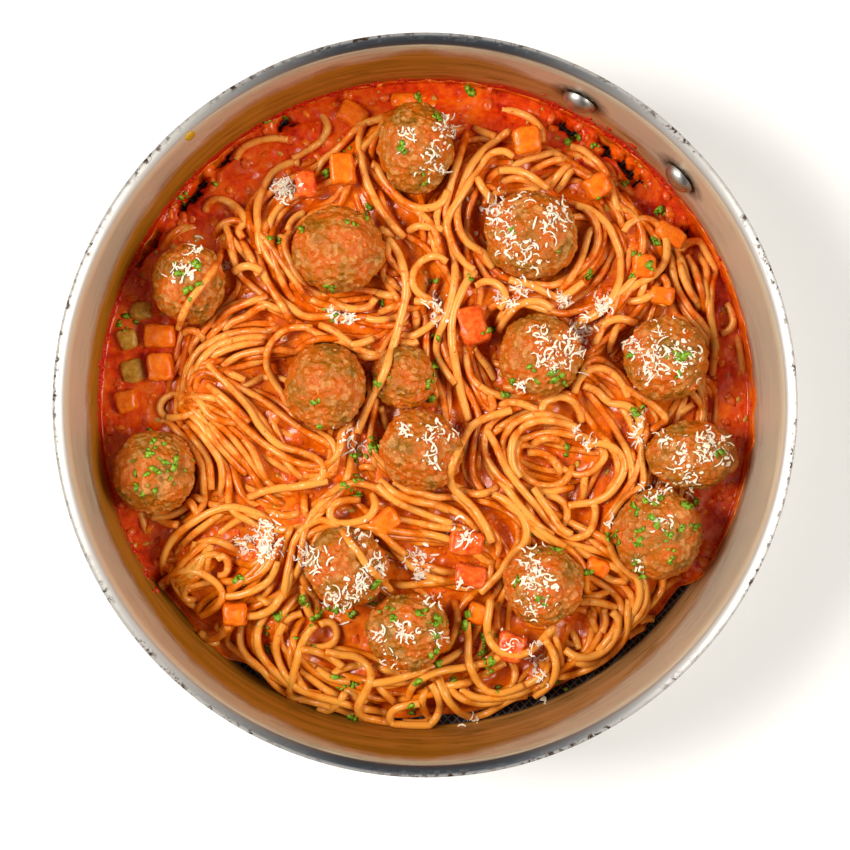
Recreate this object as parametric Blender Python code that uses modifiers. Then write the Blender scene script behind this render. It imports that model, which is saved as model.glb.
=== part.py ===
"""Spaghetti and meatballs in a riveted steel saute pan, at real size, in metres with +Z up.

The origin is on the table, under the middle of the pan's base. +Y is the upper side of the picture
that the dish was sized from, which looks straight down into the pan.
"""

import math
import random

import bmesh
import bpy
from mathutils import Matrix, Vector, noise

MM = 0.001

# Pan: a turned shell, named from its base up
RIM_RADIUS = 130.0 * MM
RIM_HEIGHT = 62.0 * MM
FLOOR_THICKNESS = 4.0 * MM
WALL_THICKNESS = 2.5 * MM
CORNER_CENTRE_RADIUS = 113.5 * MM
CORNER_INNER_RADIUS = 7.0 * MM
CORNER_OUTER_RADIUS = CORNER_INNER_RADIUS + WALL_THICKNESS + 0.5 * MM
WALL_FOOT_RADIUS = CORNER_CENTRE_RADIUS + CORNER_INNER_RADIUS
WALL_FOOT_HEIGHT = FLOOR_THICKNESS + CORNER_INNER_RADIUS
LIP_START_RADIUS = 124.5 * MM
LIP_START_HEIGHT = 52.5 * MM
LIP_FLARE_RADIUS = 12.0 * MM
LIP_FLARE_SWEEP = 50.0
BEAD_HEIGHT = 2.2 * MM
PAN_STEPS = 44

# Rivets and the bracket that they hold under the lip
RIVET_ANGLES = (63.1, 41.8)
RIVET_HEIGHT = 40.0 * MM
RIVET_HEAD_RADIUS = 5.4 * MM
RIVET_DOME_HEIGHT = 2.4 * MM
RIVET_SHANK_RADIUS = 3.0 * MM
RIVET_TAIL_RADIUS = 4.8 * MM
RIVET_TAIL_HEIGHT = 1.8 * MM
RIVET_STEPS = 12
RIVET_GAP = 0.65 * MM
BRACKET_THICKNESS = 2.2 * MM
BRACKET_HEIGHT = 20.0 * MM
BRACKET_MARGIN = 6.0
BRACKET_GAP = 0.5 * MM
FIT_GAP = 0.35 * MM

# Food: the heap's core, the strands on it and the sauce round it
FOOD_FLOOR = FLOOR_THICKNESS + 0.3 * MM
CORE_HEIGHT = 20.0 * MM
CORE_RADIUS = 113.0 * MM
CORE_UNDERCUT = 3.0 * MM
CORE_SEGMENTS = 36
CORE_RINGS = 9
CORE_RIPPLE = 1.2 * MM
SAUCE_LEVEL = 11.5 * MM
SAUCE_EDGE_GAP = 0.65 * MM
SAUCE_STEPS = 32
BARE_FLOOR_RADIUS = 131.0 * MM
BARE_FLOOR_CENTRE = -150.0 * MM
STRAND_RADIUS = 1.6 * MM
STRAND_SINK = 0.9 * MM
STRAND_STEP = 1.5 * MM
STRAND_TOLERANCE = 0.65 * MM
STRAND_SIDES = 5
STRAND_LENGTHS = (110.0 * MM, 180.0 * MM)
STRAND_SPACING = 14.0 * MM
STRAND_COUNT = 18
STRAND_TRIES = 60
TIGHTEST_TURN = 12.0 * MM
WALL_CLEARANCE = 0.9 * MM
TOPPING_CLEARANCE = 0.6 * MM
RANDOM_SEED = 11

# Where the dip in the heap's outline lies, in degrees, with its depth and its spread in degrees
OUTLINE_DIPS = (
    (172.0, 22.0 * MM, 34.0),
    (124.0, 11.0 * MM, 24.0),
    (58.0, 6.0 * MM, 20.0),
    (0.0, 10.0 * MM, 24.0),
)

# Swirls that the strands lie round: centre, radius and direction of turn
SWIRLS = (
    (42.0, -18.0, 17.0, 1),
    (-72.0, -58.0, 15.0, -1),
    (40.0, 62.0, 26.0, 1),
    (-38.0, 10.0, 30.0, -1),
    (-34.0, 56.0, 27.0, 1),
    (68.0, 54.0, 20.0, -1),
    (-98.0, -26.0, 24.0, 1),
    (44.0, -66.0, 24.0, -1),
    (-28.0, -62.0, 26.0, 1),
    (86.0, 14.0, 24.0, 1),
)
SWIRL_SPREAD = 16.0

# Meatballs: place of the centre in plan, half sizes along X and Y, and height of the centre
MEATBALLS = (
    (-2.9, 93.6, 14.7, 16.9, 26),
    (-31.8, 56.7, 17.2, 16.5, 29),
    (38.8, 62.2, 17.6, 17.2, 28),
    (-86.4, 44.8, 14.0, 15.4, 25),
    (-36.2, 7.3, 15.7, 16.5, 29),
    (42.4, 18.3, 15.7, 16.1, 29),
    (88.0, 17.2, 16.5, 16.5, 27),
    (-7.7, 10.3, 12.5, 12.5, 24),
    (-1.5, -16.1, 15.4, 15.0, 29),
    (97.5, -18.0, 17.7, 13.2, 24),
    (-99.0, -24.7, 16.2, 15.8, 24),
    (85.2, -46.6, 17.6, 16.9, 26),
    (43.2, -65.2, 15.4, 15.4, 28),
    (-29.0, -58.7, 16.1, 15.6, 27),
    (-6.2, -82.1, 16.1, 15.2, 27),
)
MEATBALL_SQUAT = 0.93
MEATBALL_BUMP = 0.05
MEATBALL_SEGMENTS = 12
MEATBALL_RINGS = 7
CHEESY_MEATBALLS = (2, 5, 6, 8, 12, 13)
SHRED_SIZE = (6.5 * MM, 1.6 * MM, 1.8 * MM)

# Diced vegetables: kind, place in plan, height of the underside, length, width, thickness and turn
DICE = (
    ("carrot", -98.5, 26.2, 8.5, 12.5, 9.5, 7.5, 0),
    ("carrot", -98.2, 14.6, 8.5, 9.7, 10.8, 9.0, 4),
    ("celery", -110.4, 24.8, 8.0, 7.6, 8.4, 6.0, 14),
    ("celery", -108.6, 13.2, 7.5, 9.2, 9.0, 6.0, 12),
    ("carrot", -110.8, 1.8, 8.0, 8.8, 8.8, 7.0, 15),
    ("celery", -105.6, 35.6, 7.5, 9.0, 7.0, 6.0, 4),
    ("carrot", -26.8, 108.4, 8.5, 11.5, 8.6, 7.0, -30),
    ("carrot", -7.6, 114.0, 7.5, 10.5, 5.6, 6.5, 4),
    ("carrot", -30.1, 86.6, 20.0, 9.5, 12.0, 9.0, 5),
    ("tomato", -43.6, 81.4, 19.0, 7.4, 10.5, 6.5, 8),
    ("carrot", 37.4, 97.3, 18.0, 10.3, 10.3, 9.0, 12),
    ("carrot", 63.4, 80.6, 19.5, 10.0, 8.6, 8.0, 30),
    ("carrot", 90.6, 63.0, 16.0, 12.8, 7.0, 6.5, -33),
    ("carrot", 80.0, 51.0, 21.5, 8.8, 9.3, 7.5, 0),
    ("tomato", 17.6, 29.4, 22.0, 10.5, 14.5, 7.5, 20),
    ("carrot", -69.7, -76.4, 19.0, 8.9, 8.9, 8.0, 0),
    ("carrot", -94.8, -57.4, 8.0, 6.6, 8.6, 7.0, 30),
    ("carrot", -14.7, -42.4, 21.5, 11.4, 8.6, 7.5, 38),
    ("tomato", 15.2, -50.4, 21.5, 13.0, 9.0, 7.5, -5),
    ("tomato", 16.6, -62.2, 21.0, 12.0, 8.4, 7.5, -10),
    ("carrot", 19.8, -76.2, 20.0, 8.6, 8.0, 7.0, -20),
    ("tomato", 31.4, -88.6, 18.0, 10.6, 10.8, 7.5, -18),
    ("carrot", 63.2, -58.8, 20.5, 9.0, 6.4, 7.0, -25),
    ("carrot", 87.0, 40.4, 20.0, 9.4, 7.2, 7.0, -10),
)
DICE_DRAFT = 0.06

PAN_STEEL = ("#B9B7B2", 0.28, 1.0)
RIVET_STEEL = ("#A9A7A2", 0.25, 1.0)
SAUCE_RED = ("#B4320E", 0.22, 0.0)
PASTA_ORANGE = ("#D9812F", 0.35, 0.0)
MEAT_BROWN = ("#A8642B", 0.55, 0.0)
DICE_COLOURS = {
    "carrot": ("#E8650F", 0.35, 0.0),
    "celery": ("#BC8A34", 0.3, 0.0),
    "tomato": ("#DB3A17", 0.25, 0.0),
}


def clear_scene():
    """Removes every object, so that the file can run again from the text editor."""
    for old in list(bpy.data.objects):
        bpy.data.objects.remove(old, do_unlink=True)


def make_collection(name):
    """A new collection linked to the scene."""
    collection = bpy.data.collections.new(name)
    bpy.context.scene.collection.children.link(collection)
    return collection


def make_material(name, look):
    """A Principled material from (hex colour, roughness, metallic)."""
    colour, roughness, metallic = look
    channels = [int(colour[i : i + 2], 16) / 255 for i in (1, 3, 5)]
    linear = [c / 12.92 if c <= 0.04045 else ((c + 0.055) / 1.055) ** 2.4 for c in channels]
    material = bpy.data.materials.new(name)
    material.use_nodes = True
    shader = material.node_tree.nodes["Principled BSDF"]
    shader.inputs["Base Color"].default_value = (*linear, 1.0)
    shader.inputs["Roughness"].default_value = roughness
    shader.inputs["Metallic"].default_value = metallic
    return material


def mesh_object(name, bm, collection, material=None):
    """An object from a bmesh, which is freed."""
    mesh = bpy.data.meshes.new(name)
    bm.normal_update()
    bm.to_mesh(mesh)
    bm.free()
    made = bpy.data.objects.new(name, mesh)
    collection.objects.link(made)
    if material:
        mesh.materials.append(material)
    return made


def mark_cutter(cutter):
    """Shows a cutter as wire and keeps it out of the render."""
    cutter.hide_render = True
    cutter.display_type = "WIRE"
    return cutter


def apply_modifiers(target):
    """Bakes an object's modifiers into its mesh."""
    graph = bpy.context.evaluated_depsgraph_get()
    mesh = bpy.data.meshes.new_from_object(target.evaluated_get(graph))
    target.modifiers.clear()
    target.data = mesh


def boolean(target, operation, collection, solver="EXACT"):
    """Cuts or joins a whole collection and applies the result."""
    modifier = target.modifiers.new(operation.title(), "BOOLEAN")
    modifier.operation = operation
    modifier.operand_type = "COLLECTION"
    modifier.collection = collection
    modifier.solver = solver
    apply_modifiers(target)


def turned(name, profile, steps, collection, material=None):
    """A solid turned about Z from (radius, height) points that run down its outer side."""
    bm = bmesh.new()
    ring = [bm.verts.new((radius, 0.0, height)) for radius, height in profile]
    for first, second in zip(ring, ring[1:]):
        bm.edges.new((first, second))
    made = mesh_object(name, bm, collection, material)
    screw = made.modifiers.new("Turn", "SCREW")
    screw.steps = screw.render_steps = steps
    screw.use_merge_vertices = True
    screw.merge_threshold = 0.00001
    screw.use_smooth_shade = True
    apply_modifiers(made)
    return made


def arc(centre, radius, start, end, steps):
    """Points of an arc in the (radius, height) plane, angles in degrees."""
    return [
        (
            centre[0] + radius * math.cos(math.radians(start + (end - start) * i / steps)),
            centre[1] + radius * math.sin(math.radians(start + (end - start) * i / steps)),
        )
        for i in range(steps + 1)
    ]


def wall_radius(height):
    """The pan's inner radius at a height above the table, up to where the lip flares."""
    if height < WALL_FOOT_HEIGHT:
        drop = WALL_FOOT_HEIGHT - height
        return CORNER_CENTRE_RADIUS + math.sqrt(max(CORNER_INNER_RADIUS**2 - drop**2, 0.0))
    slope = (LIP_START_RADIUS - WALL_FOOT_RADIUS) / (LIP_START_HEIGHT - WALL_FOOT_HEIGHT)
    return WALL_FOOT_RADIUS + slope * (height - WALL_FOOT_HEIGHT)


def outer_wall_radius(height):
    """The pan's outer radius at a height above the table, on its straight part."""
    foot = CORNER_CENTRE_RADIUS + CORNER_OUTER_RADIUS
    top = LIP_START_RADIUS + WALL_THICKNESS
    share = (height - CORNER_OUTER_RADIUS) / (LIP_START_HEIGHT - CORNER_OUTER_RADIUS)
    return foot + (top - foot) * share


def wall_lean():
    """The wall's lean from upright, in radians."""
    return math.atan(
        (LIP_START_RADIUS - WALL_FOOT_RADIUS) / (LIP_START_HEIGHT - WALL_FOOT_HEIGHT)
    )


def pan_profile():
    """The pan's section from the middle of its floor, up the inside, over the bead and down the outside."""
    flare_centre = (LIP_START_RADIUS + LIP_FLARE_RADIUS, LIP_START_HEIGHT)
    flare_end = 180.0 - LIP_FLARE_SWEEP
    inside = [(0.0, FLOOR_THICKNESS)]
    inside += arc(
        (CORNER_CENTRE_RADIUS, WALL_FOOT_HEIGHT), CORNER_INNER_RADIUS, -90.0, 0.0, 4
    )
    inside += arc(flare_centre, LIP_FLARE_RADIUS, 180.0, flare_end, 3)
    bead = [
        (RIM_RADIUS - 0.8 * MM, RIM_HEIGHT),
        (RIM_RADIUS, RIM_HEIGHT - 0.8 * MM),
        (RIM_RADIUS, RIM_HEIGHT - BEAD_HEIGHT),
    ]
    outside = arc(flare_centre, LIP_FLARE_RADIUS - WALL_THICKNESS, flare_end + 4.0, 180.0, 2)
    corner_centre = (CORNER_CENTRE_RADIUS, CORNER_OUTER_RADIUS)
    outside += arc(corner_centre, CORNER_OUTER_RADIUS, 0.0, -90.0, 3)
    return inside + bead + outside + [(0.0, 0.0)]


def rivet_frame(angle):
    """A matrix whose +Z runs outwards through the wall at a rivet, from the wall's inner face."""
    turn = math.radians(angle)
    radius = wall_radius(RIVET_HEIGHT)
    place = Vector((radius * math.cos(turn), radius * math.sin(turn), RIVET_HEIGHT))
    lean = wall_lean()
    outward = Vector(
        (math.cos(turn) * math.cos(lean), math.sin(turn) * math.cos(lean), -math.sin(lean))
    )
    return Matrix.Translation(place) @ outward.to_track_quat("Z", "Y").to_matrix().to_4x4()


def make_pan(parts, cutters, material):
    """The turned shell, drilled for its rivets."""
    pan = turned("pan", pan_profile(), PAN_STEPS, parts, material)
    for number, angle in enumerate(RIVET_ANGLES, 1):
        bm = bmesh.new()
        radius = RIVET_SHANK_RADIUS + FIT_GAP
        bmesh.ops.create_cone(
            bm, cap_ends=True, segments=RIVET_STEPS, radius1=radius, radius2=radius, depth=16 * MM
        )
        bm.transform(rivet_frame(angle))
        mark_cutter(mesh_object(f"rivet_hole_{number}", bm, cutters))
    return pan


def make_rivets(parts, material):
    """Two rivets: a dome inside the wall, a shank through it and a flat head on the bracket."""
    wall = outer_wall_radius(RIVET_HEIGHT) - wall_radius(RIVET_HEIGHT)
    grip = wall + BRACKET_GAP + BRACKET_THICKNESS + FIT_GAP
    profile = [
        (0.0, grip + RIVET_TAIL_HEIGHT),
        (RIVET_TAIL_RADIUS * 0.8, grip + RIVET_TAIL_HEIGHT),
        (RIVET_TAIL_RADIUS, grip + RIVET_TAIL_HEIGHT * 0.6),
        (RIVET_TAIL_RADIUS, grip),
        (RIVET_SHANK_RADIUS, grip),
        (RIVET_SHANK_RADIUS, -RIVET_GAP),
        (RIVET_HEAD_RADIUS, -RIVET_GAP),
        (RIVET_HEAD_RADIUS * 0.86, -RIVET_GAP - RIVET_DOME_HEIGHT * 0.5),
        (RIVET_HEAD_RADIUS * 0.5, -RIVET_GAP - RIVET_DOME_HEIGHT * 0.88),
        (0.0, -RIVET_GAP - RIVET_DOME_HEIGHT),
    ]
    for number, angle in enumerate(RIVET_ANGLES, 1):
        rivet = turned(f"rivet_{number}", profile, RIVET_STEPS, parts, material)
        rivet.matrix_world = rivet_frame(angle)


def make_bracket(parts, holes, material):
    """The steel bracket outside the wall: a plate bent to the wall's round and lean."""
    span = math.radians(RIVET_ANGLES[0] - RIVET_ANGLES[1] + 2 * BRACKET_MARGIN)
    middle = math.radians(sum(RIVET_ANGLES) / 2)
    bm = bmesh.new()
    bmesh.ops.create_cube(bm, size=1.0)
    cuts = [edge for edge in bm.edges if abs(edge.verts[0].co.x - edge.verts[1].co.x) > 0.5]
    bmesh.ops.subdivide_edges(bm, edges=cuts, cuts=7, use_grid_fill=True)
    for vert in bm.verts:
        height = RIVET_HEIGHT + vert.co.z * BRACKET_HEIGHT
        outside = outer_wall_radius(height) + BRACKET_GAP
        radius = outside + (vert.co.y + 0.5) * BRACKET_THICKNESS
        turn = middle - vert.co.x * span
        vert.co = (radius * math.cos(turn), radius * math.sin(turn), height)
    bracket = mesh_object("handle_bracket", bm, parts, material)
    boolean(bracket, "DIFFERENCE", holes)


def outline_radius(turn):
    """How far the heap reaches from the pan's axis at an angle in radians."""
    radius = CORE_RADIUS
    for angle, depth, spread in OUTLINE_DIPS:
        away = (math.degrees(turn) - angle + 180.0) % 360.0 - 180.0
        radius -= depth * math.exp(-((away / spread) ** 2))
    return radius


def core_top(x, y):
    """Height of the bare core's upper face above a point, or None outside its outline."""
    share = math.hypot(x, y) / outline_radius(math.atan2(y, x))
    if share >= 1.0:
        return None
    swell = CORE_HEIGHT * math.sqrt(1.0 - share**6)
    ripple = CORE_RIPPLE * math.sin(x / (11 * MM)) * math.cos(y / (13 * MM)) * (1.0 - share**4)
    return FOOD_FLOOR + swell + ripple


def make_core(name, collection, material=None, grown=0.0):
    """The heap's core: a dome of rings set to the outline, flat underneath, grown for use as a cutter."""
    bm = bmesh.new()
    bmesh.ops.create_uvsphere(bm, u_segments=CORE_SEGMENTS, v_segments=CORE_RINGS * 2, radius=1.0)
    bmesh.ops.delete(bm, geom=[v for v in bm.verts if v.co.z < -0.001], context="VERTS")
    for vert in bm.verts:
        turn = math.atan2(vert.co.y, vert.co.x)
        share = min(math.hypot(vert.co.x, vert.co.y), 1.0)
        radius = outline_radius(turn) * share - (CORE_UNDERCUT if share > 0.999 else 0.0)
        x, y = radius * math.cos(turn), radius * math.sin(turn)
        top = core_top(x, y) if share < 0.999 else FOOD_FLOOR
        spread = (radius + grown * share) / radius if radius > 0 else 1.0
        vert.co = (x * spread, y * spread, top + grown * (1.0 - share))
    if grown:
        for vert in bm.verts:
            if vert.is_boundary:
                vert.co.z -= 2 * MM
    bmesh.ops.holes_fill(bm, edges=[edge for edge in bm.edges if edge.is_boundary])
    return mesh_object(name, bm, collection, material)


def meatball_mesh(number):
    """A lumpy ball at its place, as a bmesh."""
    x, y, half_x, half_y, height = MEATBALLS[number]
    half = Vector((half_x, half_y, (half_x + half_y) / 2 * MEATBALL_SQUAT)) * MM
    bm = bmesh.new()
    bmesh.ops.create_uvsphere(
        bm, u_segments=MEATBALL_SEGMENTS, v_segments=MEATBALL_RINGS, radius=1.0
    )
    bm.transform(Matrix.Rotation(0.9 + number, 4, Vector((1.0, 0.6, 0.2)).normalized()))
    for vert in bm.verts:
        lump = noise.noise(vert.co * 1.7 + Vector((number * 3.7, 0.0, 0.0)))
        vert.co = vert.co * half * (1.0 - MEATBALL_BUMP * 0.5 + MEATBALL_BUMP * lump)
    bm.transform(Matrix.Translation(Vector((x, y, height)) * MM))
    return bm


def meatball_cutter(number):
    """A ball of few flat faces that all lie a gap outside a meatball, as a bmesh."""
    x, y, half_x, half_y, height = MEATBALLS[number]
    half = Vector((half_x, half_y, (half_x + half_y) / 2 * MEATBALL_SQUAT)) * MM
    bm = bmesh.new()
    bmesh.ops.create_icosphere(bm, subdivisions=2, radius=1.0)
    nearest = min(abs(face.normal.dot(face.verts[0].co)) for face in bm.faces)
    grown = half / nearest + Vector((FIT_GAP, FIT_GAP, FIT_GAP))
    for vert in bm.verts:
        vert.co = vert.co * grown
    bm.transform(Matrix.Translation(Vector((x, y, height)) * MM))
    return bm


def shred_mesh(number, piece, draw):
    """A strip of grated cheese lying on the upper side of a meatball, half sunk in it."""
    x, y, half_x, half_y, height = MEATBALLS[number]
    turn = draw.uniform(0.0, math.tau)
    reach = draw.uniform(0.15, 0.6)
    normal = Vector((math.cos(turn) * reach, math.sin(turn) * reach, 1.0)).normalized()
    half_z = (half_x + half_y) / 2 * MEATBALL_SQUAT
    surface = Vector((normal.x * half_x, normal.y * half_y, normal.z * half_z)) * MM * 0.96
    bm = bmesh.new()
    bmesh.ops.create_cube(bm, size=1.0)
    for vert in bm.verts:
        narrow = 1.0 - 0.3 * (vert.co.x + 0.5)
        vert.co = (
            vert.co.x * SHRED_SIZE[0],
            vert.co.y * SHRED_SIZE[1] * narrow,
            vert.co.z * SHRED_SIZE[2] * narrow,
        )
    lie = normal.to_track_quat("Z", "X").to_matrix().to_4x4()
    spin = Matrix.Rotation(draw.uniform(0.0, math.tau), 4, "Z")
    place = Matrix.Translation(Vector((x, y, height)) * MM + surface)
    bm.transform(place @ lie @ spin)
    return bm


def make_meatballs(parts, cutters, material):
    """Each meatball with the cheese on it fused on, and its cutter for the food round it."""
    draw = random.Random(RANDOM_SEED)
    for number in range(len(MEATBALLS)):
        label = f"{number + 1:02d}"
        ball = mesh_object(f"meatball_{label}", meatball_mesh(number), parts, material)
        shreds = bpy.data.collections.new("shreds")
        bpy.context.scene.collection.children.link(shreds)
        for piece in range(2 if number in CHEESY_MEATBALLS else 1):
            mesh_object(f"shred_{label}_{piece}", shred_mesh(number, piece, draw), shreds)
        boolean(ball, "UNION", shreds, "MANIFOLD")
        drop_collection(shreds)
        mark_cutter(mesh_object(f"cutter_meatball_{label}", meatball_cutter(number), cutters))


def dice_mesh(row, grown):
    """A diced piece, narrower at the top, as a bmesh at its place."""
    _, x, y, low, length, width, thickness, turn = row
    bm = bmesh.new()
    bmesh.ops.create_cube(bm, size=1.0)
    for vert in bm.verts:
        draft = 1.0 - DICE_DRAFT * (vert.co.z + 0.5) * (1.0 + vert.co.x)
        vert.co = (
            vert.co.x * (length * draft * MM + 2 * grown),
            vert.co.y * (width * draft * MM + 2 * grown),
            vert.co.z * (thickness * MM + 2 * grown),
        )
    middle = Vector((x, y, low + thickness / 2)) * MM
    bm.transform(Matrix.Translation(middle) @ Matrix.Rotation(math.radians(turn), 4, "Z"))
    return bm


def make_dice(parts, cutters, materials):
    """The diced vegetables, numbered by kind, and a cutter for each."""
    counts = {}
    for row in DICE:
        kind = row[0]
        counts[kind] = counts.get(kind, 0) + 1
        name = f"{kind}_{counts[kind]:02d}"
        mesh_object(name, dice_mesh(row, 0.0), parts, materials[kind])
        mark_cutter(mesh_object(f"cutter_{name}", dice_mesh(row, FIT_GAP), cutters))


def flow_heading(x, y, heading):
    """The way a strand tends to run at a point: round the swirls and along the pan's wall."""
    total = Vector((math.cos(heading), math.sin(heading))) * 0.35
    for centre_x, centre_y, radius, direction in SWIRLS:
        away = Vector((x / MM - centre_x, y / MM - centre_y))
        distance = max(away.length, 0.1)
        weight = math.exp(-(((distance - radius) / SWIRL_SPREAD) ** 2))
        total += Vector((-away.y, away.x)) * (direction * weight / distance)
    radius = math.hypot(x, y)
    along_wall = max(0.0, (radius - 88 * MM) / (18 * MM)) ** 2
    side = 1.0 if math.cos(heading) * -y + math.sin(heading) * x > 0 else -1.0
    total += Vector((-y, x)) * (side * 2.0 * along_wall / max(radius, MM))
    return math.atan2(total.y, total.x)


def turned_from_toppings(x, y, heading):
    """A heading bent away from meatballs and diced pieces that lie close ahead."""
    for centre_x, centre_y, reach in topping_discs():
        away = Vector((x - centre_x, y - centre_y))
        gap = away.length - reach
        if gap < 4 * MM:
            tangent = math.atan2(away.x, -away.y)
            if math.cos(tangent - heading) < 0:
                tangent += math.pi
            outward = math.atan2(away.y, away.x)
            push = min(1.0, max(0.0, (3 * MM - gap) / (4 * MM)))
            wanted = Vector((math.cos(tangent), math.sin(tangent))) * (1 - push)
            wanted += Vector((math.cos(outward), math.sin(outward))) * push
            heading = math.atan2(wanted.y, wanted.x)
    return heading


def topping_discs():
    """Plan circle of every meatball and diced piece: centre and the reach that a strand's axis keeps."""
    clear = STRAND_RADIUS + TOPPING_CLEARANCE
    discs = [
        (x * MM, y * MM, max(half_x, half_y) * MM + clear)
        for x, y, half_x, half_y, _ in MEATBALLS
    ]
    discs += [
        (x * MM, y * MM, math.hypot(length, width) / 2 * MM + clear)
        for _, x, y, _, length, width, _, _ in DICE
    ]
    return discs


def strand_plan(start, heading, length, draw):
    """A strand's line in plan: steps that follow the swirls with a limited bend, until it is blocked."""
    x, y = start
    line = [(x, y)]
    drift = draw.uniform(-0.3, 0.3)
    most = STRAND_STEP / TIGHTEST_TURN
    discs = topping_discs()
    for _ in range(int(length / STRAND_STEP)):
        drift = 0.97 * drift + draw.gauss(0.0, 0.03)
        wanted = turned_from_toppings(x, y, flow_heading(x, y, heading) + drift)
        turn = (wanted - heading + math.pi) % math.tau - math.pi
        heading += max(-most, min(most, turn))
        x += STRAND_STEP * math.cos(heading)
        y += STRAND_STEP * math.sin(heading)
        blocked = any(math.hypot(x - cx, y - cy) < reach for cx, cy, reach in discs)
        crosses = any(
            math.hypot(x - px, y - py) < 2.6 * STRAND_RADIUS for px, py in line[:-6]
        )
        at_wall = math.hypot(x, y) > wall_radius(SAUCE_LEVEL) - STRAND_RADIUS - 2 * WALL_CLEARANCE
        if blocked or crosses or at_wall:
            break
        line.append((x, y))
    return line


def bed_height(x, y):
    """What a strand's axis rests at above the core, the sauce or the pan's floor."""
    top = core_top(x, y)
    if top is not None and top > SAUCE_LEVEL:
        return top + STRAND_RADIUS - STRAND_SINK
    return SAUCE_LEVEL + FIT_GAP + STRAND_RADIUS


def strand_heights(line, laid):
    """Heights of a strand's axis over the core and over the strands laid before it."""
    across = 2 * STRAND_RADIUS
    heights = []
    for x, y in line:
        height = bed_height(x, y)
        for other_x, other_y, other_z in laid:
            distance = math.hypot(x - other_x, y - other_y)
            if distance < across:
                height = max(height, other_z + math.sqrt(across**2 - distance**2) - STRAND_SINK)
        heights.append(height)
    for _ in range(4):
        eased = list(heights)
        for i in range(1, len(heights) - 1):
            eased[i] = max(heights[i], (heights[i - 1] + heights[i + 1]) / 2)
        heights = eased
    return heights


def strand_section(collection):
    """The strands' section: a closed outline of few sides for the strand curves to follow."""
    outline = bpy.data.curves.new("strand_section", "CURVE")
    outline.dimensions = "3D"
    spline = outline.splines.new("POLY")
    spline.points.add(STRAND_SIDES - 1)
    spline.use_cyclic_u = True
    for i, target in enumerate(spline.points):
        turn = math.tau * i / STRAND_SIDES + 0.3
        place = (STRAND_RADIUS * math.cos(turn), STRAND_RADIUS * math.sin(turn))
        target.co = (*place, 0.0, 1.0)
    section = bpy.data.objects.new("strand_section", outline)
    collection.objects.link(section)
    return section


def make_strand(name, points, section, collection):
    """A strand as a closed tube mesh along its points."""
    curve = bpy.data.curves.new(name, "CURVE")
    curve.dimensions = "3D"
    curve.bevel_mode = "OBJECT"
    curve.bevel_object = section
    curve.use_fill_caps = True
    spline = curve.splines.new("POLY")
    spline.points.add(len(points) - 1)
    for target, point in zip(spline.points, points):
        target.co = (*point, 1.0)
    guide = bpy.data.objects.new(name + "_line", curve)
    collection.objects.link(guide)
    graph = bpy.context.evaluated_depsgraph_get()
    mesh = bpy.data.meshes.new_from_object(guide.evaluated_get(graph))
    bpy.data.objects.remove(guide, do_unlink=True)
    bm = bmesh.new()
    bm.from_mesh(mesh)
    bmesh.ops.remove_doubles(bm, verts=bm.verts, dist=0.01 * MM)
    bmesh.ops.recalc_face_normals(bm, faces=bm.faces)
    bpy.data.meshes.remove(mesh)
    return mesh_object(name, bm, collection)


def trial_strand(draw, laid, discs):
    """A strand's line from a drawn start, and how well it would fill the bare part of the heap."""
    turn, reach = draw.uniform(0.0, math.tau), 106 * MM * math.sqrt(draw.random())
    start = (reach * math.cos(turn), reach * math.sin(turn))
    heading = flow_heading(*start, draw.uniform(0.0, math.tau))
    lengths = draw.uniform(*STRAND_LENGTHS), draw.uniform(0.3, 0.7)
    top = core_top(*start)
    if top is None or top < SAUCE_LEVEL + 4 * MM:
        return 0.0, []
    if any(math.hypot(start[0] - x, start[1] - y) < keep for x, y, keep in discs):
        return 0.0, []
    back = strand_plan(start, heading + math.pi, lengths[0] * lengths[1], draw)
    ahead = strand_plan(start, heading, lengths[0] * (1.0 - lengths[1]), draw)
    line = back[:0:-1] + ahead
    bare = 0.0
    for x, y in line[::4]:
        nearest = min((math.hypot(x - p[0], y - p[1]) for p in laid), default=STRAND_SPACING)
        bare += min(nearest / STRAND_SPACING, 1.0)
    return bare + 0.15 * len(line[::4]), line


def thinned(points):
    """The points of a strand that hold its line within the tolerance."""
    kept = [points[0]]
    first = 0
    while first < len(points) - 1:
        last = first + 1
        while last + 1 < len(points):
            chord = Vector(points[last + 1]) - Vector(points[first])
            worst = max(
                (Vector(p) - Vector(points[first])).cross(chord).length / chord.length
                for p in points[first + 1 : last + 1]
            )
            if worst > STRAND_TOLERANCE:
                break
            last += 1
        kept.append(points[last])
        first = last
    return kept


def lay_strands(collection):
    """Strands spread over the core, each resting on what was laid before it."""
    draw = random.Random(RANDOM_SEED)
    laid = []
    discs = topping_discs()
    section = strand_section(bpy.context.scene.collection)
    for number in range(1, STRAND_COUNT + 1):
        tries = [trial_strand(draw, laid[::3], discs) for _ in range(STRAND_TRIES)]
        line = max(tries, key=lambda found: found[0])[1]
        points = [(x, y, z) for (x, y), z in zip(line, strand_heights(line, laid))]
        laid += points
        make_strand(f"strand_{number:02d}", thinned(points), section, collection)
    bpy.data.objects.remove(section, do_unlink=True)


def drop_collection(collection):
    """Removes a collection and the objects in it."""
    for old in list(collection.objects):
        bpy.data.objects.remove(old, do_unlink=True)
    bpy.data.collections.remove(collection)


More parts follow.
